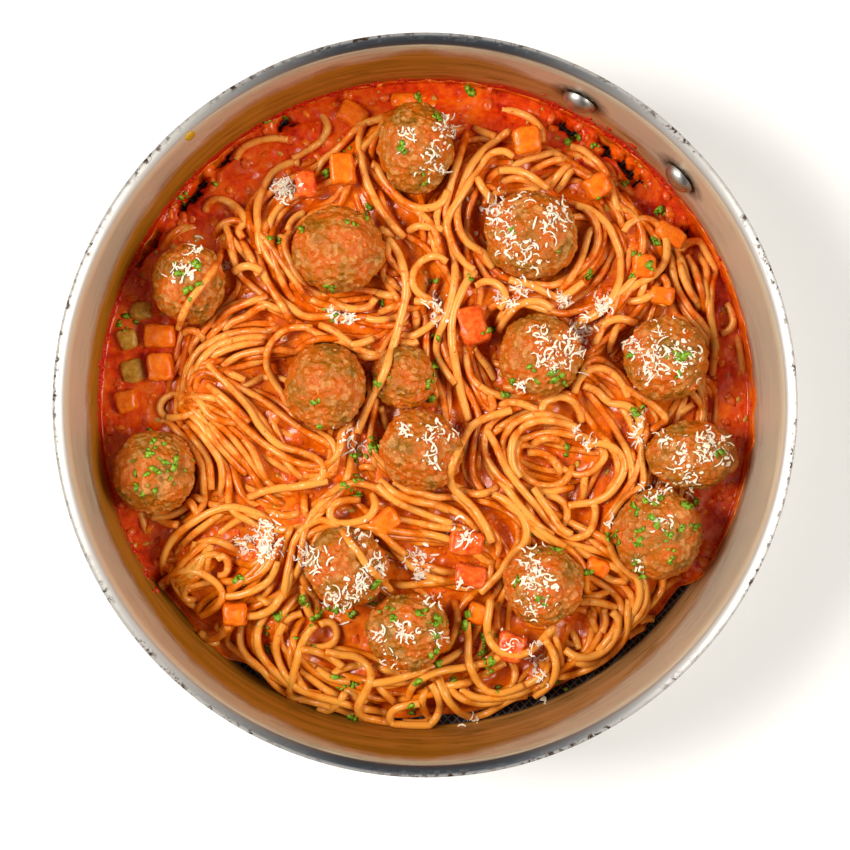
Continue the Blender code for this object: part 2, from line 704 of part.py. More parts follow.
def keep_largest_body(target):
    """Drops loose scraps and sealed hollows, so that one closed shell stays."""
    bm = bmesh.new()
    bm.from_mesh(target.data)
    left = set(bm.faces)
    shells = []
    while left:
        stack = [left.pop()]
        shell = set(stack)
        while stack:
            for edge in stack.pop().edges:
                for face in edge.link_faces:
                    if face in left:
                        left.remove(face)
                        shell.add(face)
                        stack.append(face)
        shells.append(shell)
    shells.sort(key=len, reverse=True)
    scraps = [face for shell in shells[1:] for face in shell]
    bmesh.ops.delete(bm, geom=scraps, context="FACES")
    bm.to_mesh(target.data)
    bm.free()


def make_spaghetti(parts, cutters, material):
    """The heap: its core with pockets for the toppings, and the strands fused on."""
    heap = make_core("spaghetti", parts, material)
    boolean(heap, "DIFFERENCE", cutters, "MANIFOLD")
    strands = make_collection("strands")
    lay_strands(strands)
    boolean(heap, "UNION", strands, "MANIFOLD")
    drop_collection(strands)
    keep_largest_body(heap)


def make_sauce(parts, cutters, material):
    """The pool of sauce between the heap and the wall, open where the pan's floor is bare."""
    centre = (CORNER_CENTRE_RADIUS, WALL_FOOT_HEIGHT)
    under = FOOD_FLOOR + 0.1 * MM
    edge = arc(centre, CORNER_INNER_RADIUS - SAUCE_EDGE_GAP, 6.0, -78.0, 2)
    edge[0] = (edge[1][0] + 0.3 * MM, SAUCE_LEVEL)
    profile = [(0.0, SAUCE_LEVEL)] + edge + [(CORNER_CENTRE_RADIUS - 1.5 * MM, under), (0.0, under)]
    sauce = turned("sauce", profile, SAUCE_STEPS, parts, material)
    sauce_cutters = make_collection("sauce_cutters")
    mark_cutter(make_core("cutter_core", sauce_cutters, grown=FIT_GAP + 0.2 * MM))
    bm = bmesh.new()
    bmesh.ops.create_cone(
        bm,
        cap_ends=True,
        segments=PAN_STEPS,
        radius1=BARE_FLOOR_RADIUS,
        radius2=BARE_FLOOR_RADIUS,
        depth=60 * MM,
    )
    bm.transform(Matrix.Translation((0.0, BARE_FLOOR_CENTRE, 0.0)))
    mark_cutter(mesh_object("cutter_bare_floor", bm, sauce_cutters))
    boolean(sauce, "DIFFERENCE", sauce_cutters, "MANIFOLD")
    drop_collection(sauce_cutters)
    boolean(sauce, "DIFFERENCE", cutters, "MANIFOLD")
    keep_largest_body(sauce)


def main():
    """Builds every piece of the dish."""
    clear_scene()
    parts = make_collection("spaghetti_and_meatballs")
    holes = make_collection("rivet_holes")
    toppings = make_collection("topping_cutters")
    steel = make_material("pan_steel", PAN_STEEL)
    pan = make_pan(parts, holes, steel)
    boolean(pan, "DIFFERENCE", holes)
    make_bracket(parts, holes, steel)
    make_rivets(parts, make_material("rivet_steel", RIVET_STEEL))
    make_meatballs(parts, toppings, make_material("meatball", MEAT_BROWN))
    dice_materials = {kind: make_material(kind, look) for kind, look in DICE_COLOURS.items()}
    make_dice(parts, toppings, dice_materials)
    make_spaghetti(parts, toppings, make_material("sauced_spaghetti", PASTA_ORANGE))
    make_sauce(parts, toppings, make_material("tomato_sauce", SAUCE_RED))
    drop_collection(holes)
    drop_collection(toppings)


main()
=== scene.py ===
"""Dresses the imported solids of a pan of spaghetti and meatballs.

Everything is in metres in the shared frame: +Z up, the origin on the table under the middle of the pan, and +Y the
upper side of the photograph, which looks straight down.
"""

from __future__ import annotations

import logging
import math
import random
from dataclasses import dataclass, field
from enum import Enum
from functools import partial
from typing import Callable, Iterator

import bpy
import numpy as np
from mathutils import Matrix, Vector


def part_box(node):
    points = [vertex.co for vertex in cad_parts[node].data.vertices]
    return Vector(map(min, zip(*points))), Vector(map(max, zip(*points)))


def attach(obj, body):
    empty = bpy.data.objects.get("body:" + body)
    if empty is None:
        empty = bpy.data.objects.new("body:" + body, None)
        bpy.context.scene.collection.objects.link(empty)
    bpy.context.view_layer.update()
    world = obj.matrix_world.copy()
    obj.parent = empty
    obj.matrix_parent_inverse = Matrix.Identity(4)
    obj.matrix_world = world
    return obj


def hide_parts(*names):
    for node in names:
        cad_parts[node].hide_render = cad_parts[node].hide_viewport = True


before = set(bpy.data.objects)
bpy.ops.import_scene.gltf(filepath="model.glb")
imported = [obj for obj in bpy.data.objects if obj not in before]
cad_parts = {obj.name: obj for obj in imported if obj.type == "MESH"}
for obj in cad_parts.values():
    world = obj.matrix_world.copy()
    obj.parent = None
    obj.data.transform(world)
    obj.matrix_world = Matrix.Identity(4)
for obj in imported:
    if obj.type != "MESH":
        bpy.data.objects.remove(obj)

LOG = logging.getLogger("pan_of_spaghetti")
MM = 0.001
SEED = 20
DIAGONAL = 0.7071  # cosine of 45 degrees

# The pan's section, as in its solid: the round corner of its floor, its wall, and the arc of its lip
CORNER_ACROSS = 113.5 * MM
CORNER_UP = 11.0 * MM
CORNER_RADIUS = 7.0 * MM
WALL_FOOT = 120.5 * MM
WALL_WIDENS, WALL_RISES = 4.0, 41.5
WALL_LEAN = math.atan(WALL_WIDENS / WALL_RISES)
LIP_ACROSS = 131.8 * MM
LIP_UP = 55.2 * MM
LIP_RADIUS = 7.0 * MM
SAUCE_EDGE = 119.0 * MM

# Tools shared by the pieces


def srgb(code: str) -> tuple[float, float, float, float]:
    """Turns a colour as people write it into the linear values that shaders take.

    Args:
        code: An sRGB colour such as "#C8742A".

    Returns:
        Linear red, green, blue and an alpha of 1.
    """
    parts = [int(code[i : i + 2], 16) / 255 for i in (1, 3, 5)]
    linear = [c / 12.92 if c <= 0.04045 else ((c + 0.055) / 1.055) ** 2.4 for c in parts]
    return (linear[0], linear[1], linear[2], 1.0)


def wire(node: bpy.types.Node, values: dict, links: dict) -> None:
    """Sets the free inputs of a node and links the others.

    Args:
        node: The node.
        values: Values by input name or number; a string is a colour.
        links: Output sockets, or nodes whose first output is meant, by input name or number.
    """
    for name, value in values.items():
        node.inputs[name].default_value = srgb(value) if isinstance(value, str) else value
    for name, source in links.items():
        socket = source.outputs[0] if isinstance(source, bpy.types.Node) else source
        node.id_data.links.new(socket, node.inputs[name])


def add_node(
    tree: bpy.types.NodeTree, kind: str, values: dict | None = None, links: dict | None = None, **settings
) -> bpy.types.Node:
    """Adds a shader node with its settings, the values of its free inputs and its links.

    Args:
        tree: The node tree that it joins.
        kind: Blender's name of the node type, without the "ShaderNode" that each begins with.
        values: As for wire.
        links: As for wire.
        settings: Attributes of the node. "stops" fills a colour ramp with places and their colours.

    Returns:
        The new node.
    """
    node = tree.nodes.new("ShaderNode" + kind)
    for place, shade in enumerate(settings.pop("stops", ())):
        ramp = node.color_ramp.elements
        stop = ramp[place] if place < len(ramp) else ramp.new(1.0)
        stop.position = shade[0]
        stop.color = srgb(shade[1])
    for name, value in settings.items():
        setattr(node, name, value)
    wire(node, values or {}, links or {})
    return node


def new_material(name: str) -> tuple[bpy.types.Material, Callable[..., bpy.types.Node], bpy.types.Node]:
    """Makes a material.

    Args:
        name: What the real one is.

    Returns:
        The material, add_node for its own tree, and its Principled shader.
    """
    material = bpy.data.materials.new(name)
    material.use_nodes = True
    tree = material.node_tree
    return material, partial(add_node, tree), tree.nodes["Principled BSDF"]


def deselect() -> None:
    """Leaves edit mode and deselects everything."""
    if bpy.context.object and bpy.context.object.mode != "OBJECT":
        bpy.ops.object.mode_set(mode="OBJECT")
    bpy.ops.object.select_all(action="DESELECT")


def settle(piece: bpy.types.Object, name: str) -> bpy.types.Object:
    """Names a piece and applies its place, so that its object sits at the origin.

    Args:
        piece: The object.
        name: Its name.

    Returns:
        The same object.
    """
    deselect()
    piece.name = piece.data.name = name
    piece.select_set(True)
    bpy.context.view_layer.objects.active = piece
    bpy.ops.object.transform_apply(location=True, rotation=True, scale=True)
    return piece


def apply_all(piece: bpy.types.Object) -> None:
    """Applies every modifier of a piece in order."""
    bpy.context.view_layer.objects.active = piece
    for modifier in list(piece.modifiers):
        bpy.ops.object.modifier_apply(modifier=modifier.name)


def roughen(piece: bpy.types.Object, kind: str, grain: float, strength: float, depth: int = 2) -> None:
    """Adds a modifier that displaces a piece along its normals by a procedural pattern.

    Args:
        piece: The piece.
        kind: CLOUDS or VORONOI.
        grain: Size of the pattern in metres.
        strength: How far it moves the surface, in metres.
        depth: How many finer layers a cloud has.
    """
    pattern = bpy.data.textures.new(f"{piece.name}_{kind.lower()}", kind)
    pattern.noise_scale = grain
    if kind == "CLOUDS":
        pattern.noise_depth = depth
    modifier = piece.modifiers.new(kind.title(), "DISPLACE")
    modifier.texture = pattern
    modifier.texture_coords = "GLOBAL"
    modifier.strength = strength
    modifier.mid_level = 0.5


def mesh_piece(name: str, points: np.ndarray, faces: list, smooth: bool = True) -> bpy.types.Object:
    """Makes an object from points and faces, for shapes that no operator gives.

    Args:
        name: Its name.
        points: One row for each vertex, in metres.
        faces: Vertex numbers of each face, outwards by the right-hand rule.
        smooth: Whether its faces are smooth.

    Returns:
        The object.
    """
    mesh = bpy.data.meshes.new(name)
    mesh.from_pydata(points.tolist(), [], faces)
    mesh.update()
    if smooth:
        mesh.polygons.foreach_set("use_smooth", [True] * len(mesh.polygons))
    piece = bpy.data.objects.new(name, mesh)
    bpy.context.scene.collection.objects.link(piece)
    return piece


def tube_faces(start: int, rings: int, sides: int) -> list[list[int]]:
    """The quads between neighbouring rings of vertices that follow each other.

    Args:
        start: Number of the first ring's first vertex.
        rings: How many rings there are.
        sides: How many vertices a ring has.

    Returns:
        Vertex numbers of each face.
    """
    ring = start + np.arange(rings - 1)[:, None] * sides
    here, after = np.arange(sides), (np.arange(sides) + 1) % sides
    quads = np.stack([ring + here, ring + sides + here, ring + sides + after, ring + after], axis=-1)
    return quads.reshape(-1, 4).tolist()


def fan_faces(centre: int, start: int, sides: int, step: int = 1) -> list[list[int]]:
    """The triangles that close a ring of vertices round one more vertex.

    Args:
        centre: Number of that vertex.
        start: Number of the ring's first vertex.
        sides: How many vertices the ring has.
        step: 1 for the ring's own direction, -1 for the other.

    Returns:
        Vertex numbers of each face.
    """
    pairs = [(start + k, start + (k + 1) % sides)[::step] for k in range(sides)]
    return [[centre, *pair] for pair in pairs]


def as_rows(points: list[Vector]) -> np.ndarray:
    """Puts points in the rows of an array."""
    return np.array([tuple(point) for point in points])


def keep_values(piece: bpy.types.Object, name: str, values: np.ndarray) -> None:
    """Stores a value for each vertex under a name that the piece's material reads."""
    layer = piece.data.attributes.new(name, "FLOAT", "POINT")
    layer.data.foreach_set("value", values.astype(np.float32))


def report(piece: bpy.types.Object) -> None:
    """Logs a finished piece and how many triangles it has."""
    triangles = sum(len(face.vertices) - 2 for face in piece.data.polygons)
    LOG.info("%s: %d triangles", piece.name, triangles)


def waves(x: np.ndarray, y: np.ndarray, size: float, seed: int) -> np.ndarray:
    """A smooth random pattern.

    Args:
        x: Places along X, in metres.
        y: Places along Y, in metres.
        size: Rough size of its lumps, in metres.
        seed: Which pattern.

    Returns:
        Values of about -1 to 1.
    """
    draw = np.random.default_rng(seed)
    total = np.zeros_like(x)
    for _ in range(14):
        turn, phase, stretch = draw.uniform(0, math.tau), draw.uniform(0, math.tau), draw.uniform(0.6, 1.7)
        along = x * math.cos(turn) + y * math.sin(turn)
        total += np.sin(along * math.pi / (size * stretch) + phase)
    return total / 4.5


# Finishes


@dataclass(frozen=True)
class BrushedSteel:
    """Clad stainless steel, turned and brushed round, with a nonstick floor and the dirt of cooking.

    Fine rings run round the wall and stretch each reflection across them. The mesh says which side is the inner
    one. There sauce has dried low down, fat has burnt to a brown film, and black grime sits round the rivets. The
    film's amber is partly painted reflection of the food, and it is thinner on the right as painted light. The lip
    has a painted dark reflection in slate at its front and back, and specks have burnt on along its bead.
    """

    steel: str = "#D6D2CC"
    worn: str = "#9C9791"
    # Slate for the lip's painted dark reflection at its front and back
    slate_reflection: str = "#5E6874"
    # Burnt fat film; its amber is partly painted reflection of the food
    film: str = "#BA7402"
    smear: str = "#7C5408"
    scoured: str = "#D4C8A4"
    dried: str = "#BC1C08"
    burnt: str = "#33200F"
    nonstick: str = "#141211"
    scratch: str = "#504E48"
    brush_spacing: float = 0.35 * MM
    hatch_spacing: float = 2.4 * MM
    roughness: float = 0.38

    def make(self, rivets: tuple[Vector, ...]) -> bpy.types.Material:
        """Builds the material.

        Args:
            rivets: Centre of each rivet's head, in metres.

        Returns:
            The material.
        """
        material, add, shader = new_material("brushed_stainless_steel")
        place = add("TexCoord").outputs["Object"]
        x, y, z = add("SeparateXYZ", links={0: place}).outputs
        turn = add("Math", links={0: y, 1: x}, operation="ARCTAN2")
        flat = add("CombineXYZ", links={"X": x, "Y": y})
        radius = add("VectorMath", links={0: flat}, operation="LENGTH").outputs["Value"]
        rings = add("CombineXYZ", links={"X": radius, "Y": z, "Z": turn})
        drawn = add("VectorMath", {1: (1.0, 1.0, 0.004)}, {0: rings}, operation="MULTIPLY")
        spun = add("VectorMath", {1: (1.0, 1.0, 0.02)}, {0: rings}, operation="MULTIPLY")
        sources = {"plain": z, "side": y, "across": x, "radius": radius}
        for name, scale, detail, source in (
            ("brush", 0.5 / self.brush_spacing, 3.0, drawn),
            ("band", 60.0, 4.0, drawn),
            ("cloud", 45.0, 5.0, place),
            ("speck", 420.0, 4.0, place),
            ("dash", 340.0, 4.0, spun),
        ):
            sources[name] = add("TexNoise", {"Scale": scale, "Detail": detail, "Roughness": 0.64}, {"Vector": source})
        for name, pattern, reach in (("ragged", "cloud", 0.016), ("bitty", "speck", 0.012)):
            shift = add("Math", {1: 0.5}, {0: sources[pattern]}, operation="SUBTRACT")
            sources[name] = add("Math", {1: reach}, {0: shift, 2: z}, operation="MULTIPLY_ADD")
        corner = add("VectorMath", {1: (DIAGONAL, DIAGONAL, 0.0)}, {0: place}, operation="DOT_PRODUCT")
        sources["corner"] = corner.outputs["Value"]
        sources["inner"] = add("Attribute", attribute_name="inner").outputs["Fac"]
        sources["wide"] = add("Math", links={0: x}, operation="ABSOLUTE")
        higher = add("Math", {1: 0.22}, {0: sources["wide"], 2: sources["ragged"]}, operation="MULTIPLY_ADD")
        sources["slanted"] = add("Math", {1: 0.05}, {0: x, 2: higher}, operation="MULTIPLY_ADD")
        scales = [
            ("rubbed", "brush", 0.3, 0.7, 0.0, 0.3),
            ("banded", "band", 0.3, 0.6, 0.9, 1.0),
            ("filmed", "slanted", 0.050, 0.058, 1.0, 0.0),
            ("lip", "plain", 0.0560, 0.0580, 0.0, 1.0),
            # Painted dark reflection: strongest where |x| is small, at the lip's front and back
            ("far_side", "wide", 0.030, 0.085, 0.85, 0.0),
            # Painted light: the film thins towards the right side, which shows lit and silver
            ("left_side", "across", 0.0, 0.1, 1.0, 0.7),
            ("scratched", "brush", 0.3, 0.7, 0.5, 0.9),
            ("streaky", "band", 0.42, 0.62, 0.0, 0.75),
            ("dashes", "dash", 0.52, 0.64, 0.0, 0.85),
            ("mid_wall", "slanted", 0.034, 0.072, 1.0, 0.0),
            ("splashed", "corner", 0.085, 0.105, 0.0, 0.85),
            ("splash_height", "ragged", 0.019, 0.023, 1.0, 0.0),
            ("rim_edge", "radius", 0.1286, 0.1293, 0.0, 0.75),
            ("inside", "inner", 0.2, 0.9, 0.0, 1.0),
            ("low", "bitty", 0.0150, 0.0180, 1.0, 0.0),
            ("upper_side", "side", -0.06, -0.02, 0.0, 1.0),
            ("bead", "radius", 0.1274, 0.1290, 0.0, 1.0),
            ("specks", "speck", 0.5, 0.56, 0.0, 1.0),
            ("patchy", "cloud", 0.42, 0.56, 0.1, 1.0),
            ("floor", "plain", 0.0066, 0.0078, 1.0, 0.0),
            ("grimy", "speck", 0.34, 0.5, 0.45, 1.0),
        ]
        for number, centre in enumerate(rivets):
            away = add("VectorMath", {1: centre}, {0: place}, operation="DISTANCE")
            sources[f"away_{number}"] = away.outputs["Value"]
            scales.append((f"rivet_{number}", f"away_{number}", 0.0070, 0.0125, 1.0, 0.0))
        for number, way in enumerate((1.0, -1.0)):
            slope = (DIAGONAL / self.hatch_spacing, way * DIAGONAL / self.hatch_spacing, 0.0)
            slant = add("VectorMath", {1: slope}, {0: place}, operation="DOT_PRODUCT")
            sources[f"cell_{number}"] = add("Math", {1: 0.5}, {0: slant.outputs["Value"]}, operation="PINGPONG")
            scales.append((f"line_{number}", f"cell_{number}", 0.07, 0.13, 1.0, 0.0))
        masks = {}
        for name, source, low, high, first, last in scales:
            limits = {"From Min": low, "From Max": high, "To Min": first, "To Max": last}
            masks[name] = add("MapRange", limits, {"Value": sources[source]})
        base = add("Mix", {6: self.steel, 7: self.worn}, {0: masks["rubbed"]}, data_type="RGBA")
        # Painted dark reflection: the lip turns slate at its front and back
        dark_reflection_amount = add("Math", links={0: masks["lip"], 1: masks["far_side"]}, operation="MULTIPLY")
        colour = add("Mix", {7: self.slate_reflection}, {0: dark_reflection_amount, 6: base.outputs[2]}, data_type="RGBA").outputs[2]
        coat = None
        for shade, names in (
            (self.scoured, ("scratched", "inside")),
            # Film and its streaks: partly burnt fat, partly painted reflection of the food, thinned on the right as
            # painted light
            (self.film, ("filmed", "inside", "banded", "left_side")),
            (self.smear, ("filmed", "inside", "streaky", "left_side")),
            (self.smear, ("dashes", "inside", "mid_wall")),
            (self.dried, ("splash_height", "inside", "splashed")),
            (self.dried, ("low", "inside", "upper_side")),
            (self.worn, ("rim_edge",)),
            (self.burnt, ("bead", "specks", "patchy")),
            (self.burnt, ("rivet_0", "grimy", "inside")),
            (self.burnt, ("rivet_1", "grimy", "inside")),
            (self.nonstick, ("floor", "inside")),
            (self.scratch, ("floor", "inside", "line_0")),
            (self.scratch, ("floor", "inside", "line_1")),
        ):
            amount = masks[names[0]]
            for name in names[1:]:
                amount = add("Math", links={0: amount, 1: masks[name]}, operation="MULTIPLY")
            colour = add("Mix", {7: shade}, {0: amount, 6: colour}, data_type="RGBA").outputs[2]
            if coat is None:
                coat = add("Math", {1: 0.7}, {0: amount}, operation="MULTIPLY")
            else:
                coat = add("Math", links={0: coat, 1: amount}, operation="MAXIMUM")
        metal = add("Math", {0: 1.0}, {1: coat}, operation="SUBTRACT", use_clamp=True)
        matt = add("Math", {1: 0.14, 2: self.roughness - 0.07}, {0: coat}, operation="MULTIPLY_ADD")
        fine = add("Math", {1: 0.14}, {0: sources["brush"], 2: matt}, operation="MULTIPLY_ADD")
        bump = add("Bump", {"Strength": 0.25, "Distance": 0.00006}, {"Height": sources["brush"]})
        wire(
            shader,
            {"Specular IOR Level": 0.2},
            {"Base Color": colour, "Metallic": metal, "Roughness": fine, "Normal": bump},
        )
        return material


@dataclass(frozen=True)
class PlainSteel:
    """Turned or pressed stainless steel with a satin finish, as on rivets and brackets."""

    name: str = "satin_stainless_steel"
    colour: str = "#B9B5AE"
    roughness: float = 0.28
    grit: float = 0.4 * MM

    def make(self) -> bpy.types.Material:
        """Builds the material and returns it."""
        material, add, shader = new_material(self.name)
        place = add("TexCoord").outputs["Object"]
        grain = add("TexNoise", {"Scale": 1.0 / self.grit, "Detail": 3.0}, {"Vector": place})
        worn = add("ValToRGB", links={0: grain}, stops=((0.3, self.colour), (0.8, "#8C877F")))
        rough = add(
            "MapRange", {"To Min": self.roughness - 0.06, "To Max": self.roughness + 0.1}, {"Value": grain}
        )
        wire(shader, {"Metallic": 1.0}, {"Base Color": worn, "Roughness": rough})
        return material


def finish_food(
    shader: bpy.types.Node, colour: bpy.types.NodeSocket, rough: tuple, gloss: float, glow: tuple, relief: tuple
) -> None:
    """Wires the surface of wet food, which light sinks into.

    Args:
        shader: Its Principled shader.
        colour: What gives its colour.
        rough: A pattern, and the least and the greatest roughness that it gives.
        gloss: Its specular level.
        glow: Share of light that sinks in, how far green and blue get against red, and red's depth in metres.
        relief: A pattern, its strength and its depth in metres.
    """
    add = partial(add_node, shader.id_data)
    spread = add("MapRange", {"To Min": rough[1], "To Max": rough[2]}, {"Value": rough[0]})
    bump = add("Bump", {"Strength": relief[1], "Distance": relief[2]}, {"Height": relief[0]})
    weight, green, blue, depth = glow
    wire(
        shader,
        {
            "Specular IOR Level": gloss,
            "Subsurface Weight": weight,
            "Subsurface Radius": (1.0, green, blue),
            "Subsurface Scale": depth,
        },
        {"Base Color": colour, "Roughness": spread, "Normal": bump},
    )


@dataclass(frozen=True)
class SaucedPasta:
    """Cooked durum wheat spaghetti with thin oily tomato sauce on it.

    Light sinks into it, so that it looks soft. The sauce clings in streaks a few millimetres long, and its oil gives
    a broad wet shine. Its skin is paler on top and darker low down: partly sauce that runs off the tops and gathers
    low down, partly painted highlight on the tops and painted shade below.
    """

    wheat: str = "#F0A248"
    coated: str = "#DE6402"
    oiled: str = "#D6880E"
    # Darkest tone: sauce-soaked strands, and painted shade where the skin faces down
    soaked_and_shaded: str = "#B24A02"
    streak: float = 6.5 * MM
    fleck: float = 1.3 * MM

    def make(self) -> bpy.types.Material:
        """Builds the material and returns it."""
        material, add, shader = new_material("sauced_cooked_pasta")
        place = add("TexCoord").outputs["Object"]
        tone = add("Attribute", attribute_name="tone").outputs["Fac"]
        up = add("Attribute", attribute_name="up").outputs["Fac"]
        # Painted highlight and painted shade: paler where the skin faces up, darker where it faces down
        amount = add("Math", {1: 0.42}, {0: up, 2: tone}, operation="MULTIPLY_ADD")
        for size, detail, first, last in ((self.streak, 3.0, -0.46, 0.34), (self.fleck, 2.0, -0.1, 0.1)):
            pattern = add("TexNoise", {"Scale": 1.0 / size, "Detail": detail, "Roughness": 0.6}, {"Vector": place})
            limits = {"From Min": 0.3, "From Max": 0.7, "To Min": first, "To Max": last}
            spread = add("MapRange", limits, {"Value": pattern})
            amount = add("Math", links={0: amount, 1: spread}, operation="ADD")
        stops = ((0.1, self.soaked_and_shaded), (0.5, self.coated), (1.16, self.wheat))
        colour = add("ValToRGB", links={0: amount}, stops=stops)
        y = add("SeparateXYZ", links={0: place}).outputs["Y"]
        oily = add("MapRange", {"From Min": 0.02, "From Max": -0.1, "To Min": 0.0, "To Max": 0.4}, {"Value": y})
        tinted = add("Mix", {7: self.oiled}, {0: oily, 6: colour}, data_type="RGBA").outputs[2]
        glow = (0.25, 0.45, 0.18, 1.6 * MM)
        finish_food(shader, tinted, (pattern, 0.1, 0.34), 0.35, glow, (pattern, 0.4, 0.2 * MM))
        return material


@dataclass(frozen=True)
class TomatoSauce:
    """Cooked tomato sauce: crushed flesh in oil, wet and slightly see-through, with grains and lumps.

    It is orange where oil and starch from the strands have gone into it, and deep red where it stands in a pool.
    """

    name: str = "cooked_tomato_sauce"
    starchy: tuple[str, str, str] = ("#B44002", "#DC5E02", "#F08820")
    deep: tuple[str, str, str] = ("#AC1602", "#DE4204", "#F07212")
    grain: float = 2.2 * MM
    roughness: float = 0.13

    def make(self) -> bpy.types.Material:
        """Builds the material and returns it."""
        material, add, shader = new_material(self.name)
        place = add("TexCoord").outputs["Object"]
        pool = add("Attribute", attribute_name="pool").outputs["Fac"]
        lumpy = {"Scale": 1.0 / (6.0 * self.grain), "Detail": 6.0, "Roughness": 0.68, "Distortion": 0.6}
        pulp = add("TexNoise", lumpy, {"Vector": place})
        grains = add("TexNoise", {"Scale": 1.0 / self.grain, "Detail": 3.0, "Roughness": 0.6}, {"Vector": place})
        mixed = add("Math", {1: 0.35}, {0: grains, 2: pulp}, operation="MULTIPLY_ADD")
        ramps = [
            add("ValToRGB", links={0: mixed}, stops=((0.48, shades[0]), (0.66, shades[1]), (0.86, shades[2])))
            for shades in (self.starchy, self.deep)
        ]
        colour = add("Mix", links={0: pool, 6: ramps[0], 7: ramps[1]}, data_type="RGBA").outputs[2]
        rough = (grains, self.roughness - 0.06, self.roughness + 0.2)
        finish_food(shader, colour, rough, 0.4, (0.15, 0.25, 0.1, 1.2 * MM), (mixed, 0.6, 0.5 * MM))
        return material


@dataclass(frozen=True)
class BrownedMince:
    """Browned beef mince bound with crumbs, under a thin glaze of sauce.

    Grains of meat and fat about 2 mm across show pale or pink, over patches that run from olive brown through the
    glaze to orange sauce.
    """

    glaze: str = "#B8620A"
    browned: str = "#8A5A0A"
    fat: str = "#DA9C54"
    sauce: str = "#CA5C04"
    grain: float = 1.9 * MM

    def make(self) -> bpy.types.Material:
        """Builds the material and returns it."""
        material, add, shader = new_material("browned_mince")
        place = add("TexCoord").outputs["Object"]
        patches = add("TexNoise", {"Scale": 110.0, "Detail": 4.0, "Roughness": 0.6}, {"Vector": place})
        cells = add("TexVoronoi", {"Scale": 1.0 / self.grain, "Randomness": 1.0}, {"Vector": place})
        fine = add("TexNoise", {"Scale": 700.0, "Detail": 3.0, "Roughness": 0.7}, {"Vector": place})
        stops = ((0.36, self.browned), (0.48, self.glaze), (0.6, self.sauce))
        base = add("ValToRGB", links={0: patches}, stops=stops)
        pick = add("SeparateColor", links={0: cells.outputs["Color"]})
        grains = add("MapRange", {"From Min": 0.6, "From Max": 0.9, "To Min": 0.0, "To Max": 1.1}, {"Value": pick})
        speckled = add("Math", links={0: grains, 1: fine}, operation="MULTIPLY")
        colour = add("Mix", {7: self.fat}, {0: speckled, 6: base}, data_type="RGBA").outputs[2]
        height = add("Math", {1: 0.6}, {0: cells, 2: fine}, operation="MULTIPLY_ADD")
        finish_food(shader, colour, (fine, 0.18, 0.52), 0.3, (0.08, 0.4, 0.2, MM), (height, 1.0, 0.6 * MM))
        return material


@dataclass(frozen=True)
class CookedVegetable:
    """A cut piece of cooked vegetable: wet, soft at its edges, with light inside it."""

    name: str
    dark: str
    light: str
    fibre: float = 3.0 * MM
    depth: float = 2.5 * MM
    weight: float = 0.3

    def make(self) -> bpy.types.Material:
        """Builds the material and returns it."""
        material, add, shader = new_material(self.name)
        place = add("TexCoord").outputs["Object"]
        flesh = add("TexNoise", {"Scale": 1.0 / self.fibre, "Detail": 4.0, "Roughness": 0.6}, {"Vector": place})
        colour = add("ValToRGB", links={0: flesh}, stops=((0.32, self.dark), (0.7, self.light)))
        glow = (self.weight, 0.35, 0.12, self.depth)
        finish_food(shader, colour, (flesh, 0.12, 0.4), 0.35, glow, (flesh, 0.4, 0.3 * MM))
        return material


class Layer(Enum):
    """How high in the heap a strand lies."""

    SUNK = 0
    MIDDLE = 1
    TOP = 2
    OVER_MEATBALLS = 3


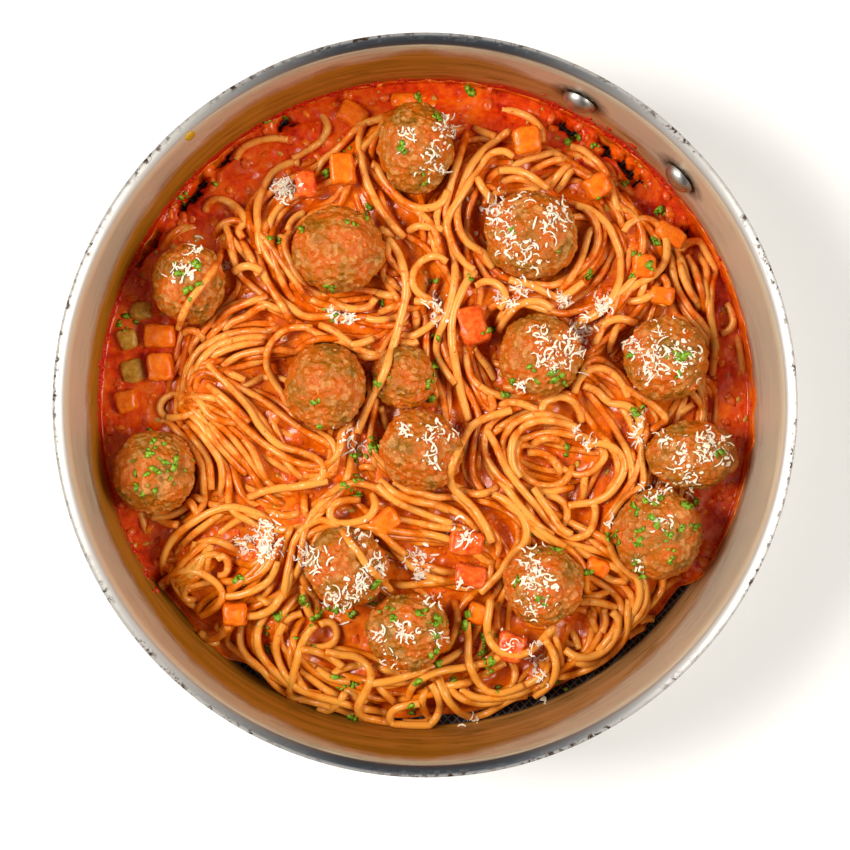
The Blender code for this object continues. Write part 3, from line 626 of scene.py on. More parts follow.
# Every strand whose course shows from above, as the camera sees it at a height of 27 mm. Each has its paleness in
# hundredths, then the x and y of points along its axis in tenths of a millimetre.
STRANDS = {
    Layer.SUNK: """
50 -675,72 -620,91 -580,116
""",
    Layer.MIDDLE: """
50 -886,233 -879,266 -857,277 -828,266 -806,236; 60 -616,568 -595,503 -573,452 -533,393 -485,357 -445,328 -383,324
-310,335; 50 -595,488 -558,422 -518,360 -492,313 -463,295; 55 -777,287 -719,342 -675,364 -620,386 -573,401; 50
-740,277 -704,306 -657,324 -609,357 -565,375; 60 -868,94 -857,149 -821,204 -766,240 -711,262 -638,273 -558,269; 60
-843,83 -835,131 -806,178 -759,218 -693,240 -620,251 -547,247; 50 -792,174 -730,204 -657,225 -584,236; 50 -740,142
-719,160 -682,182 -631,196 -547,204 -456,196; 50 -740,131 -693,109 -657,94; 55 -412,287 -474,287 -522,269 -558,233
-576,193 -576,142 -554,94 -525,50 -503,14 -485,-12; 50 -795,76 -762,50 -719,14 -675,-26 -646,-63; 50 -883,69 -846,39
-813,3 -784,-34 -740,-55 -675,-63; 55 -996,-55 -937,-59 -901,-96 -865,-143 -832,-190 -810,-234 -810,-333; 60 -883,-70
-839,-125 -799,-183 -784,-234 -784,-307; 55 -865,-55 -821,-99 -777,-154 -748,-205 -740,-263 -748,-325; 50 -821,-52
-781,-110 -730,-168 -689,-216 -653,-249; 50 -795,-59 -748,-114 -704,-161 -664,-209; 50 -675,-114 -638,-150 -613,-198
-595,-245 -573,-285; 55 -803,-355 -857,-325 -930,-318 -1003,-333 -1032,-373 -1029,-424 -1003,-482 -978,-526; 65
-959,-617 -956,-562 -930,-500 -886,-453 -828,-413 -773,-384 -711,-369 -649,-380 -595,-402 -558,-431; 60 -886,-515
-857,-479 -821,-449 -777,-417 -730,-380; 60 -832,-508 -803,-493 -755,-493 -704,-519 -668,-541; 50 -803,-606 -795,-562
-784,-508; 50 -857,-599 -850,-544 -839,-497; 50 -996,-701 -967,-654 -912,-614; 60 124,-307 182,-322 237,-314 270,-296;
75 175,215 201,178 233,138 255,94; 55 146,222 153,160 171,101 208,65 244,47 292,32 347,32; 50 376,-154 419,-125
463,-117 511,-139; 55 372,-172 419,-172 463,-194 492,-234 503,-271; 45 347,-125 332,-168 336,-216 361,-256 401,-282
449,-293 492,-285 522,-260 540,-220; 50 383,-307 438,-314 492,-307 540,-296; 70 274,-271 303,-307 336,-351 376,-398
419,-442 467,-475; 60 438,-325 482,-336 514,-365 518,-409 492,-449; 70 -164,-271 -120,-311 -73,-336 -18,-351 36,-362
91,-384; 70 -117,-278 -66,-296 -18,-314 36,-333 91,-333 139,-340; 65 98,-322 142,-351 179,-395 208,-435 230,-475; 70
-29,-427 36,-442 91,-449 146,-464 201,-482; 75 -26,-464 29,-471 91,-489 142,-508; 60 18,-592 73,-606 128,-610; 55
0,-624 44,-635 91,-646; 70 263,-88 299,-63 339,-37 383,-19 423,-8; 75 266,-4 310,14 357,7 401,-12 438,-23; 70 547,-519
602,-552 657,-573 711,-599 740,-635; 70 569,-581 631,-606 682,-635 737,-646; 70 638,-460 682,-511 719,-555 755,-599
781,-646 784,-697 766,-748 737,-796; 65 -967,572 -930,612 -890,641 -843,652 -799,649; 60 -675,605 -649,568 -627,521
-609,477; 75 -558,616 -529,616 -496,608; 65 -398,857 -372,897 -332,926 -295,962 -259,1002 -208,1043; 65 -383,973
-343,999 -295,1017; 70 22,638 33,598 44,554; 60 153,1006 142,962 124,904 106,849 91,795 80,740 77,692 84,641; 70
-182,638 -146,638 -113,630; 70 -44,360 -33,320 -33,273; 65 -91,262 -47,255 -4,277 40,309 80,339; 65 -175,415 -135,404
-91,397; 65 -233,328 -182,313 -128,317 -91,335; 60 -164,342 -128,357 -91,379; 60 -153,477 -120,452 -91,422; 65
-237,200 -186,185 -135,178; 60 -347,390 -306,364 -255,353 -204,364 -182,397; 65 -91,196 -62,215 -26,240; 65 -164,-4
-150,-44 -146,-88; 60 241,43 248,3 244,-34; 65 310,867 354,893 409,911 463,926 514,937; 70 383,857 427,878 478,897
529,904 576,908; 70 456,795 478,831 503,860 536,882 580,893; 65 478,787 507,816 529,853 565,875; 60 638,893 671,875
689,838 700,802; 70 274,820 328,831 383,820 430,795; 65 631,660 602,634 587,590 573,543 554,503 529,463 496,426; 65
737,382 788,386 828,408 850,441 854,477; 65 872,481 883,441 875,397 861,353; 70 897,568 905,521 912,474 919,426
937,379 967,331 999,284 1029,236 1047,182; 70 927,561 941,517 952,470 963,426 985,382; 65 959,557 978,517 992,474
1007,430 1018,379; 60 999,583 1010,539 1018,492 1021,441 1029,390 1040,335 1054,277; 60 872,594 908,579 941,568; 60
1149,277 1156,211 1164,149 1171,87; 65 675,196 682,240 697,277 719,309; 70 540,287 584,317 627,349 664,386; 60 1003,94
1029,65 1051,25; 70 923,-37 952,-12 985,7; 65 584,-344 580,-296 587,-252; 60 -441,-325 -441,-373 -423,-420; 75
-449,-654 -438,-708 -427,-752 -405,-792; 60 109,-716 120,-767 109,-821 88,-876; 65 -613,-697 -576,-719 -540,-708; 65
-835,-862 -795,-873 -755,-865; 65 -668,-792 -675,-836 -668,-883 -646,-920 -616,-945 -587,-971 -558,-1007 -522,-1040
-474,-1066 -419,-1080 -357,-1095 -299,-1113 -248,-1135 -197,-1150 -135,-1153; 70 -606,-789 -613,-836 -609,-883
-591,-920 -562,-956 -525,-993 -482,-1022 -434,-1044 -383,-1059; 70 -518,-792 -489,-770 -449,-759; 75 -460,-967
-416,-997 -368,-1033 -317,-1066; 65 -401,-960 -361,-986 -317,-1004 -270,-1011; 65 -336,-986 -314,-964 -270,-953
-230,-956; 65 -292,-1037 -255,-1062 -215,-1084; 65 -197,-953 -142,-967 -88,-982; 65 -182,-1015 -153,-1044 -124,-1073
-98,-1099; 65 -84,-1153 -36,-1161 15,-1153; 70 15,-1029 -11,-1073 -4,-1113 26,-1146; 65 47,-986 66,-1029 88,-1073
117,-1106; 70 295,-920 325,-953 328,-997 314,-1037; 75 44,-1000 66,-1044 91,-1084 124,-1117 168,-1135 223,-1124
274,-1095 321,-1069 372,-1062; 70 80,-1015 109,-1051 153,-1077 208,-1088 263,-1080 314,-1069; 70 124,-1037 179,-1062
233,-1069 292,-1062 347,-1051 398,-1029; 70 423,-931 445,-975 430,-1018 398,-1044; 70 336,-1037 383,-1011 430,-982
460,-942; 70 295,-938 237,-967 182,-1000 120,-1018 77,-1026; 65 525,-810 551,-851 565,-894; 65 525,-931 584,-942
642,-931 686,-902 719,-862 737,-814 740,-759 748,-708; 65 445,-986 500,-989 558,-978 613,-953 660,-924 704,-887; 70
573,-697 627,-694 682,-672; 70 565,-716 620,-716 668,-727 715,-745; 60 602,-748 613,-789 631,-825; 60 657,-741
660,-789 649,-832; 65 784,-792 813,-778 843,-781; 65 463,-810 482,-869 496,-924 500,-975; 60 854,-679 890,-650
934,-624; 50 901,550 901,514 908,477 916,441 930,412 952,375 974,342 999,317 1021,284 1040,251 1054,222; 60 930,546
934,514 941,477 956,441 970,412 992,386 1003,357; 35 956,554 970,525 985,495 996,459 1007,422 1018,386 1025,342; 50
1003,561 1010,539 1025,510 1029,477 1025,441 1021,404; 45 1083,379 1105,368 1120,342 1127,313 1124,284 1105,266
1083,258; 30 886,594 908,587 930,576 952,568; 40 996,101 1025,94 1047,76 1058,50 1047,21; 50 -708,897 -686,926
-657,948 -620,962 -584,973 -547,977 -511,981; 35 -806,722 -799,743 -777,754 -748,754 -719,743 -697,722 -678,696
-657,685; 40 -967,568 -945,605 -919,630 -890,652 -857,667; 40 -1032,433 -1014,412 -996,386 -989,360
""",
    Layer.TOP: """
70 -799,160 -766,123 -726,83 -682,39 -642,-12 -609,-66 -565,-117 -518,-150 -456,-168 -401,-190 -372,-223 -379,-263
-427,-285; 60 -857,25 -912,43 -956,21 -967,-15 -941,-41 -894,-41 -846,-26 -810,-19; 75 -646,-336 -595,-314 -529,-300
-456,-293 -354,-274; 60 -832,-395 -857,-351 -901,-333 -959,-340 -989,-369 -974,-409 -937,-431 -901,-435; 55 -762,-562
-740,-548 -719,-573 -726,-614 -755,-621; 60 -941,-646 -923,-617 -875,-603 -821,-610 -777,-635 -744,-672 -744,-716
-777,-748 -821,-770; 75 -365,-373 -390,-398 -423,-427 -456,-457; 80 182,495 150,448 128,404 109,357 98,306 98,240
109,167 120,105 131,50 146,-4 161,-55; 80 80,660 91,612 102,568 109,525 109,474 102,422 91,371 77,324 58,277 44,233
44,193 58,156 84,116 113,80; 65 536,-66 492,-44 438,-30 372,-41 317,-70 288,-125 285,-179 299,-234 336,-282; 65
558,-81 514,-66 463,-55 409,-55 357,-77 325,-117 314,-168 321,-220 347,-263; 80 423,-23 438,14 482,32 525,25 558,-8
573,-59; 70 584,-154 627,-136 682,-150 719,-187 726,-234 704,-282 668,-325 616,-351 565,-358 522,-365; 70 223,-88
252,-132 285,-205 321,-263 365,-318 409,-369 449,-424 492,-460 540,-482 591,-468 616,-427 624,-387 616,-355; 70
394,-300 430,-351 463,-398 496,-446 536,-471; 75 248,-322 285,-340 325,-369 357,-409 372,-457 361,-504 325,-548
285,-599 244,-643 201,-683; 80 -175,-289 -142,-322 -102,-351 -55,-373 0,-395 55,-417 98,-431; 75 547,47 558,87 584,120
620,138 664,131 700,105 726,69 744,32; 75 576,76 627,54 660,21 689,7 733,3 766,-23 788,-70 777,-114; 70 -693,900
-675,933 -642,955 -595,970 -547,977 -500,973; 80 -482,900 -438,922 -401,948 -368,981 -354,1017 -365,1046 -383,1072; 75
-456,889 -492,886 -529,871 -558,849 -576,820 -595,784 -609,747 -613,703 -609,656 -606,605 -595,554; 60 -664,612
-682,641 -664,660 -631,678; 60 -803,707 -795,736 -762,754 -722,747 -689,725 -664,696 -649,660; 80 -700,488 -671,506
-635,510 -595,492; 75 -500,641 -489,670 -467,692 -438,707; 80 -233,955 -233,915 -226,867 -212,816 -193,773 -171,733
-146,692 -113,652 -80,619; 70 -197,886 -171,871 -150,842 -128,802 -98,762 -62,736 -18,722 29,725 66,747 84,787; 80
-58,641 -26,656 18,652 69,645; 75 310,1006 266,973 219,937 179,893 153,846 135,795 120,743 117,692 128,638 153,598
197,568 241,543 270,521; 70 325,911 292,929 255,926 223,904 197,867 168,824 142,780 113,736 91,700 80,656 95,605
113,561 142,525 179,495; 75 190,835 208,798 230,769 255,736; 80 135,1064 164,1054 193,1039 223,1032; 75 179,1017
215,999 259,984; 65 80,525 44,546 0,536 -33,506 -47,463 -36,426 -7,401 29,382; 75 -40,382 7,379 36,364 55,339; 70
-383,295 -339,277 -299,247 -263,218; 70 -274,222 -233,229 -190,247; 75 182,437 219,455 259,448 288,419 292,382
270,353; 80 263,295 281,331 314,357 350,375 394,386; 65 281,1083 325,1075 368,1061 405,1035 427,1002 427,966; 70
529,948 573,937 609,908 642,878 668,838 682,787 697,740 711,696; 70 270,860 325,860 372,846 412,820 449,795; 75
551,733 598,718 638,689 671,652 693,605 711,554 715,503 708,452 686,397 653,353 609,324 565,309; 70 726,634 744,663
781,681 824,678 857,652 879,612 883,565 872,521 843,484 803,459 762,437 726,408; 70 934,568 956,590 992,601 1029,583
1051,546 1058,499 1051,448 1043,393 1043,339 1051,280 1058,218 1054,160 1051,109; 65 1102,375 1120,346 1127,306
1109,277 1080,262; 70 649,291 678,313 722,317 770,302; 75 270,273 295,317 328,357 372,379 423,379 463,353; 85 317,481
361,455 409,430 452,408 496,390; 80 503,397 540,422 580,455; 75 -354,-263 -343,-220 -325,-179; 65 -193,-322 -182,-365
-204,-406 -252,-424 -303,-431 -339,-417 -347,-384 -325,-355 -285,-344 -237,-344; 60 -193,-446 -153,-471 -113,-511
-73,-544; 70 -387,-800 -350,-789 -325,-810 -325,-851 -354,-876 -398,-883 -438,-869; 75 -730,-697 -675,-690 -624,-672
-580,-646 -554,-610 -540,-566; 80 -653,-770 -602,-763 -558,-741 -529,-701 -503,-661 -492,-610 -489,-562; 70 -832,-832
-792,-851 -748,-840 -715,-803; 80 -514,-796 -536,-836 -544,-883 -533,-931 -514,-971 -489,-1011 -456,-1037 -412,-1055
-361,-1069 -306,-1084 -252,-1102 -197,-1113 -142,-1121; 80 -401,-800 -434,-840 -456,-883 -467,-931 -482,-982
-492,-1037 -507,-1088; 75 -456,-891 -409,-894 -365,-909 -328,-931 -299,-956; 75 -365,-898 -306,-909 -252,-916
-215,-942 -197,-978 -204,-1018 -223,-1055 -241,-1088 -244,-1117 -219,-1139 -168,-1150 -120,-1157; 85 -409,-1146
-376,-1128 -339,-1106 -310,-1077 -292,-1048; 80 -193,-1015 -142,-1007 -88,-993 -33,-975 22,-953 77,-927 128,-898
168,-873; 85 -18,-1088 -73,-1095 -117,-1113 -128,-1146 -102,-1175 -51,-1186 -4,-1179 33,-1150 55,-1102 47,-1059
22,-1015; 75 -62,-1066 -47,-1029 -18,-1000 26,-978 77,-964 131,-956 186,-945 237,-935 277,-913; 80 153,-789 157,-854
157,-913 168,-960 190,-1004 223,-1037 266,-1051 314,-1040 361,-1022; 80 241,-708 233,-756 226,-807 237,-858 270,-894
317,-913 368,-902 409,-873 441,-840 471,-803; 80 438,-854 463,-891 478,-942 471,-993 441,-1033 398,-1062; 80 511,-891
554,-916 606,-916 653,-894 686,-858 704,-814 704,-774 682,-752; 65 788,-610 806,-665 803,-716 781,-763 744,-803; 75
740,-843 770,-825 799,-810; 50 923,568 941,587 967,598 1003,601 1032,590 1051,568 1058,532 1058,495 1051,459 1043,422
1040,386 1040,342 1047,295 1054,247 1062,204 1058,160; 60 865,477 883,452 883,422 875,393 865,364; 60 -485,904
-456,915 -419,937 -390,959 -365,988 -357,1024
""",
    Layer.OVER_MEATBALLS: """
55 -740,568 -773,495 -810,441 -850,393 -879,342 -901,280; 60 -518,-701 -507,-635 -492,-562 -478,-500 -449,-453
-412,-427 -376,-417 -321,-438 -292,-471 -266,-508 -237,-544 -208,-588 -171,-624 -124,-676; 80 -139,612 -109,576
-88,532 -73,477 -69,422 -77,368 -91,313 -106,251 -124,196 -142,138 -164,87 -190,39 -212,-12 -230,-55 -248,-99; 85
317,-15 281,-26 230,-41 175,-70 139,-125 109,-187 91,-241 98,-293 139,-336 182,-380 223,-446 244,-500
""",
}

# Tufts of grated cheese: x, y and spread in mm as the camera sees them at 27 mm, then how many shreds.
CHEESE_TUFTS = """
28,70,5,26 47,69,4,22 37,54,4,14 32,60,4,8 8,101,3,14 -6,98,3,6 4,94,3,5 1,88,3,6 6,86,1,4 86,20,6,30 84,15,3,10
76,22,2,10 94,16,4,12 42,26,2,7 47,20,5,12 55,22,4,16 55,29,3,8 45,16,3,8 35,8,2,6 -7,-9,2,6 3,-10,3,10
10,-11,2,4 3,-20,2,5 88,-12,2,5 94,-18,4,12 104,-12,3,10 108,-16,4,10 97,-27,3,8 84,-33,3,7 88,-42,3,6
78,-58,2,4 67,-43,1,3 39,-58,3,14 39,-63,3,16 44,-67,3,8 38,-74,3,8 -23,-65,3,14 -17,-59,3,14 -24,-48,3,8
-29,-71,4,12 -38,-58,4,5 -35,-71,4,10 -9,-80,2,5 -7,-84,2,7 2,-71,2,6 -17,-84,2,6 -12,-92,3,4 5,-84,2,5
-51,79,3,26 -58,-49,4,40 -27,-12,3,10 -44,-54,2,8 -2,-62,1,8 -2,-56,3,16 -34,35,1,6 -27,32,1,6 4,38,2,8 5,33,2,5
35,42,2,8 50,39,2,10 65,38,2,12 64,35,1,6 58,28,3,8 31,37,1,5 78,-5,2,5 78,-12,2,6 55,-9,1,5 60,-14,2,6
80,-29,2,3 88,-29,2,4 16,-47,3,8 13,-64,2,4 31,-87,2,4 40,-91,3,8 42,-98,2,5 44,-107,1,2 14,-117,1,1 19,-114,1,2
42,-87,1,4 -73,51,1,4 -88,50,3,10 -84,57,2,5 -52,79,2,10 -59,-52,2,14 -66,-50,2,8 -42,-56,2,6 -29,33,2,5
27,39,1,4
"""

# Parsley in the same way: x, y, spread and how many flakes.
PARSLEY_FLAKES = """
-89,75,2,7 -57,105,2,4 -51,105,1,3 -54,60,2,5 -108,31,3,7 -100,-16,5,16 -93,-23,5,14 -104,-27,4,8 -84,50,2,5
-91,51,3,4 -86,42,3,5 5,105,1,5 -9,93,3,5 0,83,2,3 -2,113,1,5 16,115,2,6 32,64,1,3 49,57,2,2 -20,72,2,7
-27,66,2,4 -29,93,2,3 -36,85,1,2 -35,44,1,5 -44,64,2,3 -22,68,1,3 4,15,2,5 2,9,3,5 2,3,1,4 -15,11,2,3 -40,2,2,3
-18,8,1,3 -38,-7,1,3 -20,-14,3,14 -26,-18,2,8 -24,-27,2,6 -29,-30,2,6 -24,-32,1,5 4,45,1,4 3,25,1,5 -15,38,1,3
-35,33,2,3 16,47,1,3 23,28,2,4 29,4,1,5 32,8,1,4 39,13,2,4 47,11,2,7 51,8,1,3 60,48,1,6 76,48,1,4 82,51,1,2
84,60,1,3 77,55,1,2 62,95,1,3 53,96,2,6 65,76,1,3 73,81,1,3 86,71,2,7 92,19,2,4 95,18,1,3 93,12,1,2 75,19,1,3
78,-2,2,6 52,-17,1,3 106,-17,2,2 96,-37,2,11 76,-39,2,4 84,-34,2,6 78,-47,3,8 84,-43,2,5 89,-47,2,10 94,-45,1,4
98,-44,1,6 69,-47,2,9 91,-54,2,5 89,-57,1,4 77,-57,1,4 78,-62,2,4 39,-47,1,2 46,-53,1,2 44,-70,2,5 34,-64,1,4
49,-53,1,3 60,-60,1,4 5,-78,2,12 -2,-75,1,5 -11,-78,3,6 -13,-74,1,4 4,-84,1,4 -20,-71,1,3 -18,-65,2,7
-27,-76,2,5 -38,-76,2,6 -33,-75,1,4 -42,-73,2,5 -54,-77,1,7 -66,-64,2,5 -58,-82,1,4 -57,-89,1,3 -31,-101,2,6
-27,-102,1,3 -24,-101,1,2 -27,-114,1,6 -3,-101,1,3 -4,-110,1,3 4,-91,2,6 16,-76,1,4 15,-81,2,8 23,-84,2,5
22,-91,2,6 25,-94,1,3 23,-97,2,5 27,-103,1,3 10,-100,1,2 50,-100,2,3 93,-74,1,2 -13,-118,1,4 -78,79,7,3
-46,-85,7,4
"""


# The heap's shape


class Support:
    """Height of whatever lies highest at each place in the pan, on a fine square grid."""

    STEP = 0.6 * MM
    REACH = 122.0 * MM
    FLOOR = 4.3 * MM

    def __init__(self) -> None:
        """Starts with nothing above the pan's floor."""
        count = int(2 * self.REACH / self.STEP) + 1
        line = np.linspace(-self.REACH, self.REACH, count)
        self.x, self.y = np.meshgrid(line, line, indexing="ij")
        self.radius = np.hypot(self.x, self.y)
        self.height = np.full_like(self.x, self.FLOOR)

    def cell(self, x: np.ndarray, y: np.ndarray) -> tuple[np.ndarray, np.ndarray]:
        """Grid numbers of places, kept inside the grid."""
        top = self.x.shape[0] - 1
        i = np.clip(np.rint((x + self.REACH) / self.STEP).astype(int), 0, top)
        j = np.clip(np.rint((y + self.REACH) / self.STEP).astype(int), 0, top)
        return i, j

    def at(self, x: np.ndarray, y: np.ndarray) -> np.ndarray:
        """Heights at places."""
        return self.height[self.cell(x, y)]

    def raise_to(self, surface: np.ndarray) -> None:
        """Raises the heights to a surface given on the whole grid."""
        self.height = np.maximum(self.height, surface)

    def rest(self, x: np.ndarray, y: np.ndarray, radius: float) -> np.ndarray:
        """The lowest axis height of a round strand that touches nothing below it.

        Args:
            x: Places of its axis along X.
            y: Places of its axis along Y.
            radius: Its radius.

        Returns:
            A height for each place.
        """
        best = self.at(x, y) + radius
        for share, count in ((0.5, 6), (0.92, 10)):
            for step in range(count):
                turn = math.tau * step / count
                here = self.at(x + share * radius * math.cos(turn), y + share * radius * math.sin(turn))
                best = np.maximum(best, here + radius * math.sqrt(1 - share**2))
        return best

    def under(self, line: np.ndarray, radius: float) -> Iterator[tuple[tuple[np.ndarray, np.ndarray], float]]:
        """Goes through the cells that a strand covers.

        Args:
            line: Rows that start with x and y along the strand.
            radius: Its radius.

        Yields:
            Cells at one distance from the axis, and how high the strand's skin is over its axis there.
        """
        reach = int(radius / self.STEP) + 1
        for i in range(-reach, reach + 1):
            for j in range(-reach, reach + 1):
                away = (i * i + j * j) * self.STEP**2
                if away < radius**2:
                    cells = self.cell(line[:, 0] + i * self.STEP, line[:, 1] + j * self.STEP)
                    yield cells, math.sqrt(radius**2 - away)

    def count(self, line: np.ndarray, radius: float) -> None:
        """Adds one to every cell that a strand covers."""
        covered = np.zeros(self.height.shape, bool)
        for cells, _ in self.under(line, radius):
            covered[cells] = True
        self.height += covered

    def lay(self, path: np.ndarray, radius: float) -> None:
        """Adds a strand along a path of axis points."""
        for cells, rise in self.under(path, radius):
            np.maximum.at(self.height, cells, path[:, 2] + rise)

    def blurred(self, size: float) -> np.ndarray:
        """The heights, averaged over about a size with three passes of a box."""
        field = self.height.copy()
        half = max(1, int(size / self.STEP / 2))
        for _ in range(3):
            for axis in (0, 1):
                before, after = (np.repeat(field.take([end], axis), half + 1 + end, axis) for end in (0, -1))
                total = np.cumsum(np.concatenate([before, field, after], axis), axis)
                span = 2 * half + 1
                high = total.take(range(span, total.shape[axis]), axis)
                low = total.take(range(0, total.shape[axis] - span), axis)
                field = (high - low) / span
        return field


def wall_radius(height: np.ndarray) -> np.ndarray:
    """The pan's inner radius at heights above the table, below its lip."""
    corner = CORNER_ACROSS + np.sqrt(np.maximum(CORNER_RADIUS**2 - (CORNER_UP - height) ** 2, 0.0))
    return np.where(height < CORNER_UP, corner, WALL_FOOT + (height - CORNER_UP) * WALL_WIDENS / WALL_RISES)


class SliceKind(Enum):
    """The vegetables in the sauce."""

    CARROT = "carrot"
    CELERY = "celery"
    TOMATO = "tomato"


def pan_inside(radius: np.ndarray) -> np.ndarray:
    """Height of the pan's inner face at distances from its axis."""
    out = np.maximum(radius - CORNER_ACROSS, 0.0)
    corner = CORNER_UP - np.sqrt(np.maximum(CORNER_RADIUS**2 - out**2, 0.0))
    wall = CORNER_UP + (radius - WALL_FOOT) * WALL_RISES / WALL_WIDENS
    return np.where(radius > WALL_FOOT, wall, corner)


def degrees_apart(turn: np.ndarray, middle: float) -> np.ndarray:
    """Degrees from a direction round the pan to angles in radians, from -180 to 180."""
    return (np.degrees(turn) - middle + 180) % 360 - 180


def on_wall(angle: float, height: float) -> tuple[Vector, Vector]:
    """A place on the wall's inner face.

    Args:
        angle: Its angle round the pan, in radians.
        height: Its height above the table.

    Returns:
        The place, and the way in from it.
    """
    radius = wall_radius(height)
    place = Vector((radius * math.cos(angle), radius * math.sin(angle), height))
    flat = math.cos(WALL_LEAN)
    return place, Vector((-math.cos(angle) * flat, -math.sin(angle) * flat, math.sin(WALL_LEAN)))


def heap_outline(turn: np.ndarray) -> np.ndarray:
    """Distance of the heap's edge from the pan's axis, by angle in radians."""
    edge = np.full_like(turn, 113.0)
    for middle, growth, spread in (
        (172, -22.0, 34), (124, -11.0, 24), (58, -6.0, 20), (0, -10.0, 24),
        (-135, 5.0, 50), (-95, 3.5, 40), (-50, 2.0, 40), (20, 7.0, 34),
    ):
        edge += growth * np.exp(-0.5 * (degrees_apart(turn, middle) / (spread / 2)) ** 2)
    return edge * MM


@dataclass
class Studio:
    """A pale floor, a camera that looks straight down as the photographer did, and soft light."""

    camera_place: tuple[float, float, float] = (0.0, -7.0 * MM, 812.0 * MM)
    focal_length: float = 91.14
    floor_size: float = 6.0
    floor_colour: str = "#F4F3F1"
    bright: str = "#F4F2EE"
    dim: str = "#3E4246"

    def make(self) -> None:
        """Builds the floor, the lights, the sky and the camera."""
        deselect()
        bpy.ops.mesh.primitive_plane_add(size=self.floor_size, location=(0, 0, 0))
        floor = settle(bpy.context.object, "studio_floor")
        material, _, shader = new_material("matt_white_paper")
        wire(shader, {"Base Color": self.floor_colour, "Roughness": 0.9}, {})
        floor.data.materials.append(material)
        for name, place, size, power, colour in (
            ("left_softbox", (-0.8, 0.1, 0.95), (0.5, 0.5), 15.0, "#FFFDFA"),
            ("right_softbox", (0.85, -0.1, 0.9), (0.5, 0.5), 9.0, "#FFFBF4"),
        ):
            light = bpy.data.lights.new(name, "AREA")
            light.shape = "RECTANGLE"
            light.size, light.size_y = size
            light.energy = power
            light.color = srgb(colour)[:3]
            box = bpy.data.objects.new(name, light)
            bpy.context.scene.collection.objects.link(box)
            box.location = place
            box.rotation_euler = (Vector((0.0, 0.0, 0.02)) - Vector(place)).to_track_quat("-Z", "Y").to_euler()
            box.visible_camera = False
        self.make_sky()
        lens = bpy.data.cameras.new("camera")
        lens.sensor_width = 36.0
        lens.lens = self.focal_length
        lens.clip_start = 0.01
        camera = bpy.data.objects.new("camera", lens)
        camera.location = self.camera_place
        bpy.context.scene.collection.objects.link(camera)
        bpy.context.scene.camera = camera
        bpy.context.scene.view_settings.view_transform = "Standard"

    def make_sky(self) -> None:
        """A room that is bright to the left and right and dim in front and behind."""
        sky = bpy.data.worlds.new("studio_room")
        bpy.context.scene.world = sky
        sky.use_nodes = True
        add = partial(add_node, sky.node_tree)
        apart = add("SeparateXYZ", links={0: add("TexCoord").outputs["Generated"]})
        side = add("Math", links={0: apart}, operation="ABSOLUTE")
        colour = add("ValToRGB", links={0: side}, stops=((0.2, self.dim), (0.75, self.bright)))
        wire(sky.node_tree.nodes["Background"], {"Strength": 1.0}, {"Color": colour})


